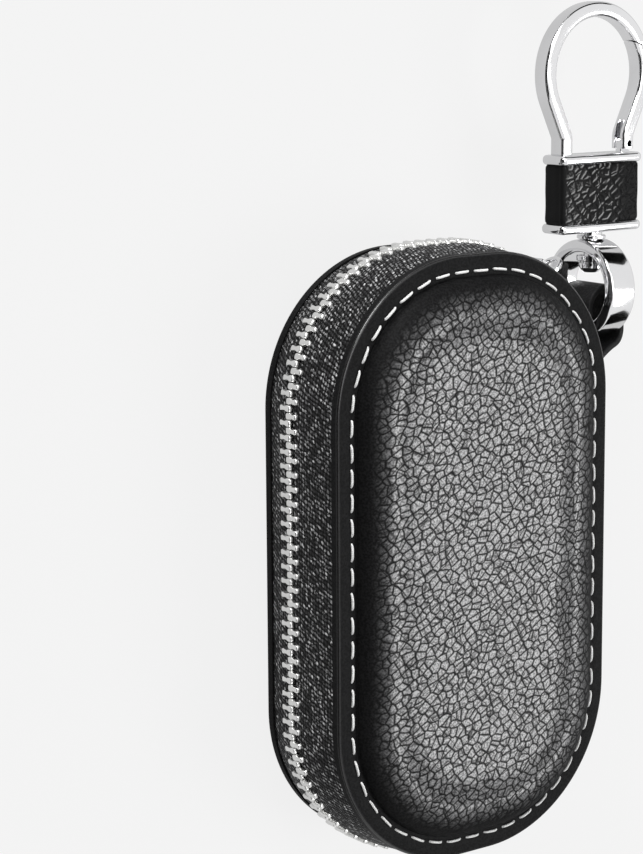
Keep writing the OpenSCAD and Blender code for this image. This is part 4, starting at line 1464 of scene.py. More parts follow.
@dataclass
class Zip(SubAssembly):
    """Tapes and teeth of the zip."""

    tape_t: float = 0.8 * MM
    tape_inset: float = 0.8 * MM
    tape_edge: float = 1.1 * MM
    root_h: float = 10 * MM
    pitch: float = 2.86 * MM
    depth: float = 2.2 * MM
    stop_len: float = 2.2 * MM
    layers: Section = ((-0.50, 0.84), (-0.44, 0.97), (-0.2, 1.0), (0.2, 1.0), (0.40, 0.97), (0.475, 0.86), (0.5, 0.66))

    def tape_profile(self, side: Side, root_gap: float = 0.0) -> np.ndarray:
        """Section of a tape, from the shell to its toothed edge and back.

        Args:
            side: shell that it is sewn to.
            root_gap: how far its root stops short.

        Returns:
            (distance out, z) pairs, counter-clockwise on the front tape.
        """
        c = self.case
        root = c.mid_z + side.value * (self.root_h - root_gap)
        edge = c.zip_z + side.value * self.tape_edge
        inner_r = c.corner_r - self.tape_inset
        shares = np.linspace(0, 1, 13)
        mid_r = inner_r + (c.zip_r - inner_r) * np.sin(shares * math.pi / 2)
        mid_z = root + (edge - root) * shares
        half = np.full(len(shares), self.tape_t / 2)
        half[-2:] *= (1.05, 0.8)
        outer = list(zip(mid_r + half, mid_z))
        back = list(zip(mid_r - half, mid_z))[::-1]
        section = np.array(outer + back)
        return section if side is Side.FRONT else section[::-1]

    def tape(self, name: str, stations: np.ndarray, section: np.ndarray) -> bpy.types.Object:
        """Sweeps a tape along its stations.

        Args:
            name: name of the piece.
            stations: array from Outline.walk or arc_stations.
            section: from tape_profile.

        Returns:
            The piece.
        """
        surface = Surface()
        surface.band(stations, section)
        return surface.build(name, self.look.tape, 50.0)

    def tapes(self) -> list[bpy.types.Object]:
        """Builds the back tape, the front tape and the two sewn ends.

        Returns:
            The pieces.
        """
        c = self.case
        pieces = []
        for side, body, word, from_deg in ((Side.BACK, Body.BACK, "back", c.zip_end_deg),
                                           (Side.FRONT, Body.FRONT, "front", c.sewn_deg)):
            stations = self.outline.walk(c.zip_r, 1.4 * MM, from_deg, False)
            tape = self.tape(f"{word}_zip_tape", stations, self.tape_profile(side))
            pieces.append(seat(tape, body, f"{word}_tape"))
        gap = math.degrees(0.2 * MM / c.zip_r)
        for word, lower in (("top", False), ("bottom", True)):
            stations = arc_stations(c, c.zip_end_deg, c.sewn_deg - gap, lower)
            end = self.tape(f"{word}_zip_end_tape", stations, self.tape_profile(Side.FRONT, 0.4 * MM))
            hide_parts("zip_end_tapes")
            pieces.append(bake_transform(end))
        return pieces

    def tooth_outline(self) -> np.ndarray:
        """Outline of one tooth in (along the zip, towards its tape).

        Returns:
            Points, m by 2, counter-clockwise.
        """
        half = [(2.60, 0.26), (2.54, 0.44), (2.36, 0.56), (2.05, 0.57), (1.75, 0.47), (1.35, 0.43), (0.90, 0.44),
                (0.62, 0.60), (0.30, 0.685), (-0.10, 0.685), (-0.42, 0.60), (-0.56, 0.45), (-0.62, 0.2)]
        right = [(w * MM, h * MM) for h, w in half[::-1]]
        left = [(-x, y) for x, y in right[::-1]]
        return np.array(right + left)

    def teeth(self, name: str, places: Iterable[float], up: float) -> bpy.types.Object:
        """Builds a row of teeth.

        Args:
            name: name of the piece.
            places: distances along the zip.
            up: 1 for teeth on the front tape, -1 on the back one.

        Returns:
            The piece.
        """
        c = self.case
        shape = self.tooth_outline()
        middle = shape.mean(0)
        surface = Surface()
        for s in places:
            px, py, a = self.outline.place(s, c.zip_r, c.zip_end_deg, False)
            out = np.array([math.cos(a), math.sin(a), 0.0])
            along = np.array([-math.sin(a), math.cos(a), 0.0])
            centre = np.array([px, py, c.zip_z]) + out * c.zip_r
            rows = []
            for depth, grow in self.layers:
                flat = middle + (shape - middle) * np.array([grow, 1 - 0.6 * (1 - grow)])
                rows.append(centre + out * depth * self.depth + flat[:, :1] * along + flat[:, 1:] * UP * up)
            surface.shell(np.array(rows), flip=up < 0)
        return surface.build(name, self.look.zip_metal, 45.0)

    def build(self) -> list[bpy.types.Object]:
        """Builds the tapes and the teeth of both tapes and of the sewn ends; see SubAssembly.build."""
        c = self.case
        length = self.outline.length(c.zip_r, c.zip_end_deg, False)
        count = math.floor((length - 2 * self.stop_len) / self.pitch) - 1
        lead = (length - (count + 0.5) * self.pitch) / 2
        sewn = c.zip_r * math.radians(c.sewn_deg - c.zip_end_deg)
        back = [lead + k * self.pitch for k in range(count)]
        front = [s + self.pitch / 2 for s in back]
        free = [s for s in front if sewn <= s <= length - sewn]
        shut = [s for s in front if not sewn <= s <= length - sewn]
        rows = (("back_zip_teeth", back, -1.0, Body.BACK, "back_teeth"),
                ("front_zip_teeth", free, 1.0, Body.FRONT, "front_teeth"),
                ("sewn_zip_teeth", shut, 1.0, Body.BACK, "zip_end_teeth"))
        return self.tapes() + [seat(self.teeth(name, places, up), body, node)
                                        for name, places, up, body, node in rows]


@dataclass
class Slider(SubAssembly):
    """Slider of the zip with its bridge, link and pull tag."""

    place_deg: float = 41.5
    length: float = 11 * MM
    width: float = 8.4 * MM
    top_r: tuple[float, float] = (32.25 * MM, 33.25 * MM)
    under_r: tuple[float, float] = (28.55 * MM, 29.67 * MM)
    dome: float = 0.12 * MM
    plate_round: float = 0.22 * MM
    flange_drop: float = 0.9 * MM
    flange_w: float = 0.7 * MM
    flange_room: float = 2.75 * MM
    arch: Section = ((-4.1, 32.7), (-4.05, 33.6), (-3.75, 34.6), (-2.9, 35.1), (0, 35.22), (2.9, 35.1), (3.75, 34.6),
                     (4.05, 33.6), (4.1, 32.7))
    link_out: float = 36.45 * MM
    link_r: float = 2.45 * MM
    link_wire: float = 1.1 * MM
    tag_len: float = 12 * MM
    tag_w: float = 4.4 * MM
    tag_t: float = 1 * MM
    tag_top: float = 14.15 * MM
    tag_round: float = 1.2 * MM
    tag_bevel: float = 0.22 * MM
    eye_drop: float = 2.2 * MM
    eye_r: float = 1.1 * MM

    def axes(self, shift: float = 0.0) -> tuple[np.ndarray, np.ndarray]:
        """Outward and forward directions on the corner arc.

        Args:
            shift: distance along the zip from the slider's middle.

        Returns:
            The two unit vectors.
        """
        a = math.radians(self.place_deg) + shift / self.case.zip_r
        return np.array([math.cos(a), math.sin(a), 0.0]), np.array([-math.sin(a), math.cos(a), 0.0])

    def half_width(self, t: float) -> float:
        """Half the width of a plate along its length.

        Args:
            t: place from -1, at its closed end, to 1.

        Returns:
            The half width in metres.
        """
        taper = 1 - 0.10 * (1 + t) / 2 - 0.06 * (t > 0) * t * t
        end = max(0.0, abs(t) - 0.72) / 0.28
        return self.width / 2 * taper * (0.62 + 0.38 * math.sqrt(max(0.0, 1 - end * end)))

    def plate(self, name: str, radii: tuple[float, float], flanged: bool) -> bpy.types.Object:
        """Builds one curved plate.

        Args:
            name: name of the piece.
            radii: distances out of its inner and outer faces.
            flanged: folds its two edges inward.

        Returns:
            The piece.
        """
        low, high = radii
        top, e, f = high - self.dome, self.plate_round, self.flange_w
        rows = []
        for t in np.concatenate([np.linspace(-1, -0.72, 7), np.linspace(-0.6, 0.6, 9), np.linspace(0.72, 1, 7)]):
            out, _ = self.axes(t * self.length / 2)
            w = self.half_width(t)
            room = min(max((w - f - self.flange_room) / (0.2 * MM), 0.02), 1.0)
            drop = low - self.flange_drop * room if flanged else low
            half = [(drop, w - 0.05 * MM), (low, w), (top - e, w), (top - 0.3 * e, w - 0.3 * e), (top, w - e),
                    (top + self.dome * (1 - t * t), 0.35 * w)]
            section = half + [(r, -z) for r, z in half[::-1]]
            section += [(drop, -w + f), (low, -w + f), (low, 0.0), (low, w - f), (drop, w - f)]
            rows.append([self.corner + UP * z + out * r for r, z in section])
        surface = Surface()
        surface.shell(np.array(rows))
        return solid_cut(surface.build(name, self.look.chrome), [], 0.06 * MM)

    def bridge(self) -> bpy.types.Object:
        """Builds the arch over the top plate.

        Returns:
            The piece.
        """
        path = smooth_path([(s * MM, r * MM) for s, r in self.arch], 0.22 * MM)
        plane = np.stack(self.axes()[::-1])
        surface = Surface()
        surface.tube(self.corner + path @ plane, -plane_normals(path) @ plane, UP,
                     rounded_rect(0.8 * MM, 1.5 * MM, 0.3 * MM, 4))
        return surface.build("slider_arch", self.look.chrome, 50.0)

    def link(self) -> bpy.types.Object:
        """Builds the wire link on the arch.

        Returns:
            The piece.
        """
        out, along = self.axes()
        middle = self.corner + out * self.link_out - UP * 0.2 * MM
        radial = circle(48) @ np.stack([out, UP])
        surface = Surface()
        surface.tube(middle + radial * self.link_r, radial, along, circle(16) * self.link_wire / 2, closed=True)
        return surface.build("pull_wire_link", self.look.chrome, 60.0)

    def tag_reach(self, way: np.ndarray) -> float:
        """Distance from the tag's eye to its rounded edge.

        Args:
            way: unit direction in (along the zip, z).

        Returns:
            The distance in metres.
        """
        low, high = self.eye_drop - self.tag_len, self.eye_drop
        near, far = 0.0, 20 * MM
        for _ in range(40):
            middle = (near + far) / 2
            x, z = abs(way[0]) * middle, way[1] * middle
            over_z = max(low + self.tag_round - z, z - (high - self.tag_round), 0.0)
            over_x = max(x - (self.tag_w / 2 - self.tag_round), 0.0)
            if math.hypot(over_x, over_z) < self.tag_round:
                near = middle
            else:
                far = middle
        return near

    def tag(self) -> bpy.types.Object:
        """Builds the flat pull tag with its eye.

        Returns:
            The piece.
        """
        out, along = self.axes()
        eye = self.corner + out * self.link_out
        eye[2] = self.tag_top - self.eye_drop
        ring = circle(64)
        edge = np.array([way * self.tag_reach(way) for way in ring])
        t, b = self.tag_t / 2, self.tag_bevel
        upper = [(ring * self.eye_r, t - b), (ring * (self.eye_r + b), t), (edge - ring * b, t), (edge, t - b)]
        loops = upper + [(flat, -h) for flat, h in upper[::-1]]
        points = np.array([eye + flat @ np.stack([along, UP]) + out * h for flat, h in loops])
        surface = Surface()
        surface.grid(points.transpose(1, 0, 2), wrap_rows=True, wrap_cols=True)
        return surface.build("pull_flat_tag", self.look.chrome, 30.0)

    def build(self) -> list[bpy.types.Object]:
        """Builds the slider and its pull; see SubAssembly.build."""
        return [seat(self.plate("slider_top", self.top_r, True), Body.SLIDER, "slider_top_plate"),
                seat(self.plate("slider_under", self.under_r, False), Body.SLIDER, "slider_under_plate"),
                seat(self.bridge(), Body.SLIDER, "slider_bridge"),
                seat(self.link(), Body.PULL, "pull_link"),
                seat(self.tag(), Body.PULL, "pull_tag")]


@dataclass
class Tab(SubAssembly):
    """Riveted leather tab that holds the ring."""

    fold_y: float = 46.0 * MM
    fold_r: float = 4.45 * MM
    width: float = 10 * MM
    thickness: float = 1.28 * MM
    under_mm: Section = ((35.2, 22.2), (35.2, 30.0), (35.25, 33.6), (35.75, 36.6), (36.1, 39.4), (36.15, 43.0))
    over_mm: Section = ((45.05, 43.0), (44.98, 40.6), (44.1, 38.85), (42.0, 37.7), (39.7, 36.1), (37.75, 34.0),
                        (36.7, 32.2), (36.5, 30.0), (36.5, 22.2))
    rivet_x: float = 32.12 * MM
    rivet_y: float = 26.2 * MM
    rivet_len_mm: float = 6.08
    head_mm: Section = ((0.2, 0.0), (1.6, 0.06), (2.5, 0.3), (2.9, 0.68), (3.0, 0.86), (2.92, 1.0), (1.5, 1.0))

    def centre_line(self) -> np.ndarray:
        """Middle line of the folded strip.

        Returns:
            Points in (x, y), n by 2.
        """
        fold = [(self.case.clip_x + self.fold_r * math.cos(a), self.fold_y + self.fold_r * math.sin(a))
                for a in np.linspace(math.pi, 0, 9)]
        under, over = ([(x * MM, y * MM) for x, y in run] for run in (self.under_mm, self.over_mm))
        return smooth_path(under + fold + over, 0.45 * MM)

    def strip(self) -> bpy.types.Object:
        """Builds the folded strip.

        Returns:
            The piece.
        """
        path = self.centre_line()
        surface = Surface()
        surface.flat_tube(path, plane_normals(path), self.case.mid_z,
                          rounded_rect(self.thickness, self.width, 0.38 * MM, 5))
        return surface.build("ring_tab_leather", self.look.smooth, 55.0)

    def rivet(self) -> bpy.types.Object:
        """Builds the rivet through the tab and the spine.

        Returns:
            The piece.
        """
        shape = [*self.head_mm, *((r, self.rivet_len_mm - h) for r, h in self.head_mm[::-1])]
        at = (self.rivet_x, self.rivet_y, self.case.mid_z)
        return turned("ring_tab_rivet", at, (1, 0, 0), shape, 48, self.look.chrome, 38.0)

    def build(self) -> list[bpy.types.Object]:
        """Builds the strip and its rivet; see SubAssembly.build."""
        return [seat(self.strip(), Body.BACK, "leather_tab"),
                seat(self.rivet(), Body.BACK, "tab_rivet")]


@dataclass
class Spine(SubAssembly):
    """Leather strip that joins the shells where the zip stops."""

    outer_r: float = 30.4 * MM
    low_z: float = 6.8 * MM
    high_z: float = 26.4 * MM
    rows: int = 14

    def build(self) -> list[bpy.types.Object]:
        """Builds the strip; see SubAssembly.build."""
        c = self.case
        inner = self.outer_r - c.leather_t
        heights = np.linspace(self.low_z, self.high_z, self.rows)
        heights = np.concatenate([heights[:-3], np.linspace(heights[-3], self.high_z, 8)])
        profile = np.array([(self.outer_r, z) for z in heights] + [(inner, z) for z in heights[::-1]])
        end = c.zip_end_deg - math.degrees(0.1 * MM / c.corner_r)
        run = np.linspace(-c.corner_y, c.corner_y, 40)[1:-1]
        side = np.stack([np.full(len(run), c.corner_x), run, np.ones(len(run)), np.zeros(len(run)), run], 1)
        stations = np.vstack([arc_stations(c, 0.0, end, True), side, arc_stations(c, 0.0, end, False)])
        steps = np.diff(stations[:, :2] + stations[:, 2:4] * inner, axis=0)
        stations[:, 4] = np.concatenate([[0.0], np.cumsum(np.linalg.norm(steps, axis=1))])
        surface = Surface()
        surface.band(stations, profile)
        piece = surface.build("spine_leather", self.look.smooth)
        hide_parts("spine")
        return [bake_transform(piece)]


@dataclass
class Swivel(SubAssembly):
    """Ring in the tab, and the post and collar that turn in it."""

    ring_y: float = 50 * MM
    ring_r: float = 10.2 * MM
    ring_in_r: float = 7.6 * MM
    ring_w: float = 6.8 * MM
    ring_round: float = 0.75 * MM
    hole_mm: Section = ((1.56, 5.0), (1.56, 12.0))
    head_low_y: float = 53.31 * MM
    post_mm: Section = (
        (0.2, 0.0), (1.5, 0.0), (2.1, 0.52), (2.28, 0.82), (2.42, 0.95), (2.62, 1.8), (2.6, 2.02), (2.3, 2.12),
        (2.3, 2.36), (2.85, 2.38), (3.0, 2.52), (3.0, 3.4), (2.86, 3.57), (1.5, 3.57), (1.5, 12.3), (0.2, 12.4))
    collar_y: float = 60.3 * MM
    collar_mm: Section = ((1.52, 0.0), (2.85, 0.0), (3.0, 0.15), (3.0, 0.6), (2.85, 0.75), (2.3, 0.78), (2.25, 0.9),
                          (2.25, 1.5), (1.52, 1.5), (1.52, 0.0))

    def ring(self) -> bpy.types.Object:
        """Builds the banded ring with the hole for its post.

        Returns:
            The piece.
        """
        shape = rounded_rect(self.ring_r - self.ring_in_r, self.ring_w, self.ring_round, 7) / MM
        shape[:, 0] += (self.ring_r + self.ring_in_r) / 2 / MM
        at = (self.case.clip_x, self.ring_y, self.case.mid_z)
        piece = turned("banded_ring", at, (1, 0, 0), [*shape, shape[0]], 128, self.look.chrome, 45.0)
        return solid_cut(piece, [turned("post_hole_cut", at, (0, 1, 0), self.hole_mm, 40, self.look.chrome)])

    def build(self) -> list[bpy.types.Object]:
        """Builds the ring, its grooved post and the stepped collar; see SubAssembly.build."""
        ring = seat(self.ring(), Body.RING, "swivel_ring")
        post, collar = (turned(name, (self.case.clip_x, y, self.case.mid_z), (0, 1, 0), shape, 64, self.look.chrome)
                        for name, y, shape in (("grooved_swivel_post", self.head_low_y, self.post_mm),
                                               ("stepped_collar", self.collar_y, self.collar_mm)))
        return [ring, seat(post, Body.CLIP, "swivel_post"), seat(collar, Body.CLIP, "swivel_collar")]


@dataclass
class Clip(SubAssembly):
    """Leather-covered block, its two rails, the snap loop and its gate."""

    block_w: float = 21.4 * MM
    block_t: float = 6 * MM
    block_round: float = 1 * MM
    lip: float = 0.6 * MM
    low_rail_y: float = 61.8 * MM
    rail_len: float = 2 * MM
    rail_round: float = 0.85 * MM
    sleeve_y: float = 63.8 * MM
    sleeve_len: float = 12.1 * MM
    sleeve_t: float = 1 * MM
    seam_z: float = 1.75 * MM
    seam_w: float = 0.22 * MM
    seam_drop: float = 0.34 * MM
    tuck_run: float = 0.30 * MM
    tuck_drop: float = 0.32 * MM
    top_rail_y: float = 75.9 * MM
    loop_y: float = 94.3 * MM
    loop_r: float = 13.05 * MM
    lean_deg: float = 25.0
    leg_len: float = 7.30 * MM
    knee_r: float = 3 * MM
    foot_len: float = 3 * MM
    bar_w: float = 3.1 * MM
    bar_t: float = 4.2 * MM
    bar_round: float = 0.95 * MM
    bar_bevel: float = 0.10 * MM
    nose_low_deg: float = 9.5
    nose_high_deg: float = 26.0
    nose_slant_deg: float = 20.0
    nose_gap: float = 0.25 * MM
    nose_step: float = 0.2 * MM
    gate_x: float = 49.06 * MM
    gate_y: float = 79.6 * MM
    slot_top_y: float = 84.43 * MM
    lug_r: float = 1.3 * MM
    lug_t: float = 1.6 * MM
    lug_layers: Section = ((-0.5, 0.90), (-0.42, 0.98), (-0.3, 1.0), (0.3, 1.0), (0.42, 0.98), (0.5, 0.90))

    def across(self, flat: np.ndarray, y: float) -> np.ndarray:
        """Places points of the block's section.

        Args:
            flat: (x, z) about the clip's line, m by 2.
            y: place along it.

        Returns:
            Points, m by 3.
        """
        return np.column_stack([self.case.clip_x + flat[:, 0], np.full(len(flat), y), self.case.mid_z + flat[:, 1]])

    def level(self, flat: np.ndarray, height: float) -> np.ndarray:
        """Places points of the clip's plan.

        Args:
            flat: (x, y), m by 2.
            height: their height over the middle of the case.

        Returns:
            Points, m by 3.
        """
        return np.column_stack([flat, np.full(len(flat), self.case.mid_z + height)])

    def rail(self, name: str, y: float, lug: bool) -> bpy.types.Object:
        """Builds a rounded rail across the block.

        Args:
            name: name of the piece.
            y: its lower face.
            lug: adds the lug that carries the gate.

        Returns:
            The piece.
        """
        e = self.rail_round
        rows = []
        for start, middle in ((-math.pi / 2, y + e), (0.0, y + self.rail_len - e)):
            for t in np.linspace(start, start + math.pi / 2, 6):
                grow = self.lip - e + e * math.cos(t)
                flat = rounded_rect(self.block_w + 2 * grow, self.block_t + 2 * grow, self.block_round + grow, 6)
                rows.append(self.across(flat, middle + e * math.sin(t)))
        surface = Surface()
        surface.shell(np.array(rows))
        if lug:
            self.lug(surface)
        return surface.build(name, self.look.chrome, 50.0)

    def lug(self, surface: Surface) -> None:
        """Adds the lug of the gate's hinge.

        Args:
            surface: mesh that takes it.
        """
        edge = [(self.gate_x + self.lug_r * math.cos(a), self.gate_y + self.lug_r * math.sin(a))
                for a in np.linspace(0, math.pi, 15)]
        edge += [(self.gate_x + x, self.top_rail_y + 1.2 * MM) for x in (-self.lug_r, self.lug_r)]
        middle = np.array([self.gate_x, self.gate_y - 0.6 * MM])
        surface.shell(np.array([self.level(middle + (np.array(edge) - middle) * share, z * self.lug_t)
                                for z, share in self.lug_layers]))

    def sleeve(self) -> bpy.types.Object:
        """Builds the leather wrapped round the block, with its butted seam.

        Returns:
            The piece.
        """
        outline = rounded_rect(self.block_w, self.block_t, self.block_round, 6)
        dense = []
        for a, b in zip(outline, np.roll(outline, -1, 0)):
            n = max(1, int(np.linalg.norm(b - a) / (0.45 * MM)))
            dense += [a + (b - a) * k / n for k in range(n)]
        dense = np.array(dense)
        along = np.roll(dense, -1, 0) - np.roll(dense, 1, 0)
        out = np.stack([along[:, 1], -along[:, 0]], 1)
        out /= np.linalg.norm(out, axis=1)[:, None]
        on_seam = np.exp(-((dense[:, 1] - self.seam_z) / self.seam_w) ** 2)
        on_seam = on_seam * (dense[:, 0] < -self.block_w / 2 + 0.4 * MM)
        back = dense - out * (self.sleeve_t - 0.06 * MM)
        rows, inner = [], []
        for t in np.linspace(0, 1, 30):
            y = self.sleeve_y + t * self.sleeve_len
            roll = min(t, 1 - t) * self.sleeve_len
            tuck = self.tuck_drop * math.exp(-(roll / self.tuck_run) ** 2)
            place = np.column_stack([dense[:, 0] + dense[:, 1] * 0.7, np.full(len(dense), y)])
            soft = 0.10 * MM * ripple(place, 0.008, 0.9)
            lift = np.minimum(soft, 0.02 * MM) - tuck - self.seam_drop * on_seam
            rows.append(self.across(dense + out * lift[:, None], y))
            inner.append(self.across(back, y))
        surface = Surface()
        surface.grid(np.array(rows + inner[::-1]), wrap_rows=True, wrap_cols=True)
        return surface.build("block_leather", self.look.creased, 50.0)

    def side_path(self, arc_deg: float, foot: float, step: float = 0.35 * MM) -> tuple[np.ndarray, np.ndarray]:
        """Middle line of one side of the bar, from the arc's end to the foot.

        Args:
            arc_deg: how far the arc goes up from the leg.
            foot: length of the upright foot.
            step: distance between points.

        Returns:
            Points and outward normals in (x, y) about the loop's middle, each n by 2.
        """
        points, normals = [], []
        for a in np.radians(np.linspace(arc_deg, 0, int(arc_deg / 2.0) + 2)):
            points.append((self.loop_r * math.cos(a), self.loop_r * math.sin(a)))
            normals.append((math.cos(a), math.sin(a)))
        for t in np.linspace(0, self.leg_len, int(self.leg_len / step) + 1)[1:]:
            points.append((self.loop_r, -t))
            normals.append((1.0, 0.0))
        for a in np.radians(np.linspace(0, self.lean_deg, 8))[1:]:
            points.append((self.loop_r + self.knee_r * (1 - math.cos(a)), -self.leg_len - self.knee_r * math.sin(a)))
            normals.append((math.cos(a), math.sin(a)))
        last, lean = points[-1], math.radians(self.lean_deg)
        for t in np.linspace(0, foot, 6)[1:]:
            points.append((last[0] + math.sin(lean) * t, last[1] - math.cos(lean) * t))
            normals.append(normals[-1])
        return spun(np.array(points), -self.lean_deg), spun(np.array(normals), -self.lean_deg)

    def bar(self, name: str, arc_deg: float, foot: float, hand: int) -> bpy.types.Object:
        """Sweeps the bar along one side.

        Args:
            name: name of the piece.
            arc_deg: see side_path.
            foot: see side_path.
            hand: 1 for the right side, -1 for the left.

        Returns:
            The piece.
        """
        path, normals = (flat * (hand, 1) for flat in self.side_path(arc_deg, foot))
        surface = Surface()
        surface.flat_tube(path + (self.case.clip_x, self.loop_y), normals, self.case.mid_z,
                          rounded_rect(self.bar_w, self.bar_t, self.bar_round, 7))
        return surface.build(name, self.look.chrome, 50.0)

    def cutter(self, edge: np.ndarray, half_z: float) -> bpy.types.Object:
        """Builds a solid that cuts straight through the clip's thickness.

        Args:
            edge: its outline in (x, y), m by 2.
            half_z: half its height.

        Returns:
            The cutter.
        """
        surface = Surface()
        surface.shell(np.array([self.level(edge, z) for z in (-half_z, half_z)]))
        return surface.build("clip_cut", self.look.chrome)

    def nose(self, radius: float, drop: float, far: float) -> bpy.types.Object:
        """Builds the stepped and slanting cut where the loop and the gate meet.

        Args:
            radius: radius of the step between the two halves of the bar.
            drop: how far the cut's two faces are lowered.
            far: height over the slanting line to which the cut goes.

        Returns:
            The cutter.
        """
        low, high = (self.loop_r * math.sin(math.radians(a + self.nose_slant_deg)) - drop
                     for a in (self.nose_low_deg, self.nose_high_deg))
        out, inside = self.loop_r + self.bar_w, 2 * MM
        turn = np.linspace(math.asin(low / radius), math.asin(high / radius), 8)
        edge = [(out, low)] + [(radius * math.cos(a), radius * math.sin(a)) for a in turn]
        edge = np.array(edge + [(inside, high), (inside, far), (out, far)])
        return self.cutter(spun(edge, -self.nose_slant_deg) + (self.case.clip_x, self.loop_y), self.bar_t)

    def loop(self) -> bpy.types.Object:
        """Builds the fixed hook of the snap.

        Returns:
            The piece.
        """
        piece = self.bar("snap_hook_bar", 190 + self.lean_deg - self.nose_low_deg, self.foot_len, -1)
        return solid_cut(piece, [self.nose(self.loop_r + self.nose_step / 2, 0.0, 0.0)], self.bar_bevel)

    def gate(self) -> bpy.types.Object:
        """Builds the sprung gate with its forked heel.

        Returns:
            The piece.
        """
        piece = self.bar("snap_gate_bar", self.lean_deg + self.nose_high_deg + 10, self.foot_len - 0.7 * MM, 1)
        wide, low, high = 5 * MM, self.top_rail_y + self.rail_len - 1 * MM, self.slot_top_y
        slot = np.array([(self.gate_x + x, y) for x, y in ((-wide, low), (wide, low), (wide, high), (-wide, high))])
        cuts = [self.nose(self.loop_r - self.nose_step / 2, self.nose_gap, self.loop_r + self.bar_w),
                self.cutter(slot, self.lug_t / 2 + 0.1 * MM)]
        return solid_cut(piece, cuts, self.bar_bevel)

    def build(self) -> list[bpy.types.Object]:
        """Builds the rails, the sleeve, the loop and the gate; see SubAssembly.build."""
        return [seat(self.rail("block_low_rail", self.low_rail_y, False), Body.CLIP, "bottom_rail"),
                seat(self.rail("block_top_rail", self.top_rail_y, True), Body.CLIP, "top_rail"),
                seat(self.sleeve(), Body.CLIP, "clip_leather"),
                seat(self.loop(), Body.CLIP, "snap_loop"),
                seat(self.gate(), Body.GATE, "snap_gate")]


@dataclass
class KeyHolder(SubAssembly):
    """Strap, rivet and split ring inside the case."""

    strap_w: float = 10 * MM
    strap_z: float = 10 * MM
    strap_t: float = 1.16 * MM
    fold_y_mm: float = 33.0
    low_mm: Section = ((52.0, 8.0), (46.0, 8.0), (40.0, 8.0), (36.0, 8.0))
    high_mm: Section = ((34.6, 11.98), (36.2, 11.3), (37.4, 10.1), (38.8, 9.32), (41.0, 9.2), (52.0, 9.2))
    ring_y: float = 22.3 * MM
    ring_r: float = 12 * MM
    band_w: float = 1.9 * MM
    band_t: float = 1.0 * MM
    rivet_y: float = 45.2 * MM
    rivet_drop: float = 10.8 * MM
    rivet_mm: Section = ((0.2, 0.0), (1.2, 0.0), (1.2, 4.0), (2.3, 4.0), (2.4, 4.14), (2.3, 4.4), (1.7, 4.8),
                         (0.9, 4.96), (0.2, 5.0))

    def strap(self) -> bpy.types.Object:
        """Builds the folded strap.

        Returns:
            The piece.
        """
        fold = [(self.fold_y_mm + 2.0 * math.cos(a), self.strap_z / MM + 2.0 * math.sin(a))
                for a in np.radians(np.linspace(270, 90, 9))]
        path = smooth_path([(y * MM, h * MM) for y, h in [*self.low_mm, *fold, *self.high_mm]], 0.3 * MM)
        zeros = np.zeros(len(path))
        surface = Surface()
        surface.tube(np.column_stack([zeros, path]), np.column_stack([zeros, plane_normals(path)]),
                     np.array([1.0, 0.0, 0.0]), rounded_rect(self.strap_t, self.strap_w, 0.3 * MM, 4))
        return surface.build("key_strap_leather", self.look.smooth, 55.0)

    def ring(self) -> bpy.types.Object:
        """Builds the split ring, two flat turns of one band.

        Returns:
            The piece.
        """
        turn = np.radians(np.linspace(10, 10 + 712, 178))
        share = np.clip((turn - np.radians(365) + math.radians(22)) / math.radians(44), 0, 1)
        radial = np.column_stack([np.cos(turn), np.sin(turn), np.zeros(len(turn))])
        origins = radial * self.ring_r + np.array([0, self.ring_y, self.strap_z])
        origins[:, 2] += (smooth_step(share) - 0.5) * 1.06 * MM
        shape = np.repeat(rounded_rect(self.band_w, self.band_t, 0.32 * MM, 4)[None], len(turn), 0)
        ends = np.minimum(np.arange(len(turn)), np.arange(len(turn))[::-1])
        shape *= np.clip(0.82 + 0.06 * ends, 0, 1)[:, None, None]
        surface = Surface()
        surface.tube(origins, radial, UP, shape)
        return surface.build("split_key_ring", self.look.chrome, 50.0)

    def build(self) -> list[bpy.types.Object]:
        """Builds the strap, its rivet and the ring; see SubAssembly.build."""
        strap = seat(self.strap(), Body.BACK, "inner_strap")
        rivet = turned("key_strap_rivet", (0, self.rivet_y, self.case.mid_z - self.rivet_drop), (0, 0, 1),
                       self.rivet_mm, 40, self.look.chrome, 38.0)
        return [strap, seat(rivet, Body.BACK, "strap_rivet"), seat(self.ring(), Body.KEYS, "key_ring")]


# ---------------------------------------------------------------- finishes of the pieces


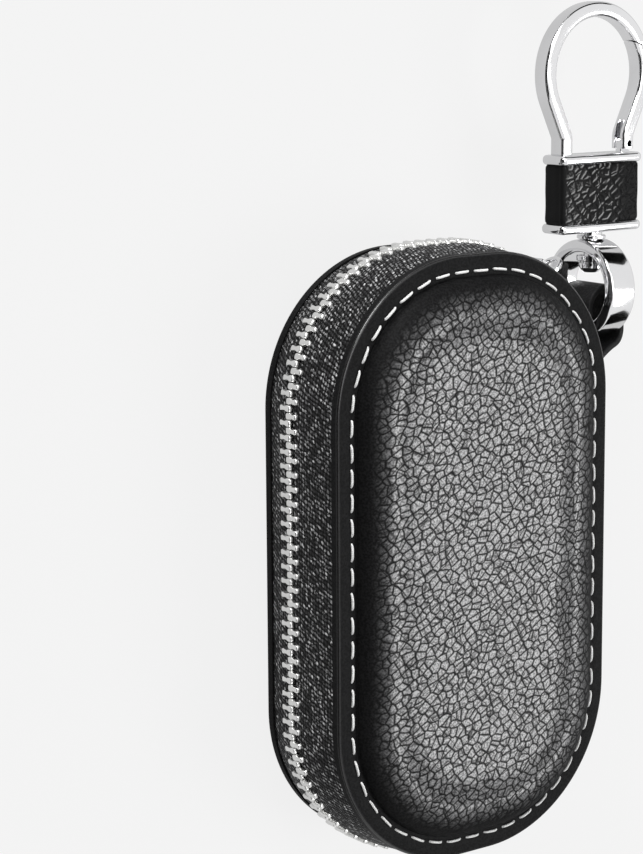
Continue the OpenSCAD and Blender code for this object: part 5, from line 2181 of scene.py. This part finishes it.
@dataclass(frozen=True)
class Wardrobe:
    """Every finish of the case."""

    pebbled: PebbledLeather = PebbledLeather("pebbled_panel_leather", Slot.PEBBLED)
    smooth: SmoothLeather = SmoothLeather("smooth_trim_leather", Slot.SMOOTH)
    creased: CreasedLeather = CreasedLeather("creased_block_leather", Slot.CREASED)
    tape: TwillCloth = TwillCloth("zip_tape_twill", Slot.TAPE)
    lining: LiningCloth = LiningCloth("woven_lining", Slot.LINING)
    zip_metal: Polished = Polished("bright_zip_metal", Slot.ZIP_METAL, (0.88, 0.88, 0.87, 1.0), 0.26, 0.08)
    chrome: Polished = Polished("polished_chrome", Slot.CHROME)
    core: Polished = Polished("plain_core_alloy", Slot.CORE, (0.6, 0.6, 0.61, 1.0), 0.4, 0.1)
    spring: Polished = Polished("satin_spring_steel", Slot.SPRING, (0.62, 0.62, 0.64, 1.0), 0.25, 0.1)
    thread: SewingThread = SewingThread("white_sewing_thread", Slot.SMOOTH)
    foam: Filling = Filling("grey_panel_foam", Slot.PADDING)
    board: Filling = Filling("fibre_board", Slot.BOARD, (0.30, 0.23, 0.15, 1.0), (0.5, 0.41, 0.3, 1.0), 0.15, 0.0006,
                             0.85, 0.0001)

    def dress(self, names: dict[str, bpy.types.Object]) -> None:
        """Gives the kept CAD nodes their finishes.

        Args:
            names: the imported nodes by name.
        """
        kept = {"back_board": self.board, "front_board": self.board, "clip_core": self.core, "gate_pin": self.spring,
                "gate_spring": self.spring, "top_stops": self.zip_metal, "bottom_stop": self.zip_metal}
        for name, finish in kept.items():
            for place in names[name].material_slots:
                place.material = finish.material()


# ---------------------------------------------------------------- studio


@dataclass
class Studio:
    """Pale floor, soft lights, dark screens and the camera."""

    camera_at: tuple[float, float, float] = (-0.3102, 0.1140, 0.3990)
    forward: tuple[float, float, float] = (0.5827, -0.1779, -0.793)
    right: tuple[float, float, float] = (0.8051, -0.0064, 0.5931)
    up: tuple[float, float, float] = (0.1106, 0.984, -0.1396)
    lens: float = 36 * 2485 / 854
    pale: Colour = (0.905, 0.905, 0.905, 1.0)
    dark: Colour = (0.003, 0.003, 0.003, 1.0)
    floor_z: float = -0.0002
    floor_half: float = 4.0
    floor_glow: float = 0.93
    mirrored_dimming: float = 0.28
    centre_z: float = 0.0168

    def stand(self) -> None:
        """Makes the camera."""
        data = bpy.data.cameras.new("view")
        data.sensor_fit = "VERTICAL"
        data.sensor_height = 36.0
        data.lens = self.lens
        data.clip_start = 0.01
        made = link_new("view", data)
        axes = Matrix((self.right, self.up, tuple(-x for x in self.forward))).transposed()
        made.matrix_world = Matrix.Translation(self.camera_at) @ axes.to_4x4()
        bpy.context.scene.camera = made

    @staticmethod
    def seen(w: Wiring) -> bpy.types.NodeSocket:
        """Tells whether the camera, polished metal or glass looks at a surface.

        Args:
            w: helper on the material's tree.

        Returns:
            1 where one of them does.
        """
        rays = w.node("ShaderNodeLightPath")
        return w.math("MAXIMUM", rays.outputs["Is Camera Ray"],
                      w.math("MAXIMUM", rays.outputs["Is Glossy Ray"], rays.outputs["Is Transmission Ray"]))

    def floor(self) -> None:
        """Makes the floor, which shows its own pale colour and keeps a soft shadow."""
        material, w = plain_material("pale_floor")
        paint = w.node("ShaderNodeBsdfDiffuse", {"Color": self.pale})
        mirrored = w.node("ShaderNodeLightPath").outputs["Is Glossy Ray"]
        dimmed = w.math("SUBTRACT", 1.0, w.math("MULTIPLY", mirrored, self.mirrored_dimming))
        glow = w.node("ShaderNodeEmission", {"Color": self.pale, "Strength": dimmed})
        share = w.math("MULTIPLY", self.seen(w), self.floor_glow)
        blend = w.node("ShaderNodeMixShader", {0: share, 1: paint.outputs[0], 2: glow.outputs[0]})
        w.node("ShaderNodeOutputMaterial", {"Surface": blend.outputs[0]})
        spots = np.linspace(-self.floor_half, self.floor_half, 9)
        rows = [[(x, y, self.floor_z) for y in spots] for x in spots]
        self.screen("floor", rows, material)

    def screen(self, name: str, rows: Sequence, material: bpy.types.Material) -> bpy.types.Object:
        """Makes a sheet of quads that is part of the stage.

        Args:
            name: its name.
            rows: rows of points.
            material: its material.

        Returns:
            The object.
        """
        cols = len(rows[0])
        mesh = bpy.data.meshes.new(name)
        mesh.from_pydata([p for row in rows for p in row], [],
                         [(k, k + cols, k + cols + 1, k + 1) for i in range(len(rows) - 1)
                          for k in range(i * cols, (i + 1) * cols - 1)])
        mesh.materials.append(material)
        made = link_new(name, mesh)
        return made

    def world(self, strength: float = 0.44) -> None:
        """Makes the even light from all round.

        Args:
            strength: its level.
        """
        world = bpy.data.worlds.new("even_light")
        bpy.context.scene.world = world
        world.use_nodes = True
        world.node_tree.nodes.clear()
        w = Wiring(world.node_tree)
        light = w.node("ShaderNodeBackground", {"Color": (1.0, 1.0, 1.0, 1.0), "Strength": strength})
        shown = w.node("ShaderNodeBackground", {"Color": self.pale, "Strength": 1.0})
        blend = w.node("ShaderNodeMixShader", {0: self.seen(w), 1: light.outputs[0], 2: shown.outputs[0]})
        w.node("ShaderNodeOutputWorld", {"Surface": blend.outputs[0]})

    def lamp(self, name: str, toward: tuple[float, float, float], far: float, size: tuple[float, float],
             radiance: float, lights_colour: bool = True) -> None:
        """Makes a soft rectangular lamp that faces the case.

        Args:
            name: name of the lamp.
            toward: direction from the case to the lamp.
            far: distance in metres.
            size: its width and height in metres.
            radiance: brightness of its face.
            lights_colour: False for a lamp that only reflections show.
        """
        data = bpy.data.lights.new(name, "AREA")
        data.shape = "RECTANGLE"
        data.size, data.size_y = size
        data.energy = radiance * math.pi * size[0] * size[1]
        made = link_new(name, data)
        way = Vector(toward).normalized()
        made.location = way * far + Vector((0.0, 0.0, self.centre_z))
        made.rotation_euler = way.to_track_quat("Z", "Y").to_euler()
        made.visible_diffuse = lights_colour

    def flag(self, name: str, ends_deg: tuple[float, float], low_deg: float, high_deg: float, far: float = 0.7) -> None:
        """Makes a dark upright screen, which only polished metal and waxed leather see.

        Args:
            name: name of the screen.
            ends_deg: directions of its two ends about the case.
            low_deg: elevation of its lower edge.
            high_deg: elevation of its upper edge.
            far: its distance in metres.
        """
        heights = [far * math.tan(math.radians(e)) + self.centre_z for e in (low_deg, high_deg)]
        material = bpy.data.materials.get("dark_screen")
        if material is None:
            material, w = plain_material("dark_screen")
            cloth = w.node("ShaderNodeBsdfDiffuse", {"Color": self.dark})
            w.node("ShaderNodeOutputMaterial", {"Surface": cloth.outputs[0]})
        rows = [[(far * math.cos(a), far * math.sin(a), z) for z in heights]
                for a in np.radians(np.linspace(*ends_deg, 24))]
        made = self.screen(name, rows, material)
        made.visible_camera = False
        made.visible_diffuse = False
        made.visible_shadow = False

    def build(self) -> None:
        """Makes the whole studio."""
        self.stand()
        self.floor()
        self.world()
        self.lamp("key_window", (0.58, -0.21, 0.79), 1.25, (0.58, 0.68), 6.7)
        self.lamp("edge_light", (-0.39, 0.74, 0.545), 1.1, (0.46, 0.26), 16.0, False)
        self.lamp("side_window", (-0.24, 0.95, 0.2), 1.2, (0.5, 0.4), 18.0)
        self.lamp("top_window", (-0.2, 0.28, 0.94), 1.3, (0.9, 0.7), 2.4, False)
        self.flag("dark_left", (40, 250), -1, 22)
        self.flag("dark_lens", (140, 215), 24, 60, 0.9)
        self.flag("dark_right", (-70, -35), -1, 24)
        bpy.context.scene.view_settings.view_transform = "Standard"


# ---------------------------------------------------------------- the whole key case


def main() -> None:
    """Builds the key case in its studio."""
    logging.basicConfig(level=logging.INFO, format="%(name)s: %(message)s")
    case, look = CaseSize(), Wardrobe()
    Studio().build()
    parts: list[SubAssembly] = [PaddedPanel(case, look, side) for side in (Side.BACK, Side.FRONT)]
    parts += [kind(case, look) for kind in (Zip, Slider, Spine, Tab, Swivel, Clip, KeyHolder)]
    pieces = [piece for part in parts for piece in part.build()]
    look.dress(frame["nodes"])
    for piece in pieces:
        log.info("%s: %d faces", piece.name, len(piece.data.polygons))


if __name__ == "__main__":
    main()
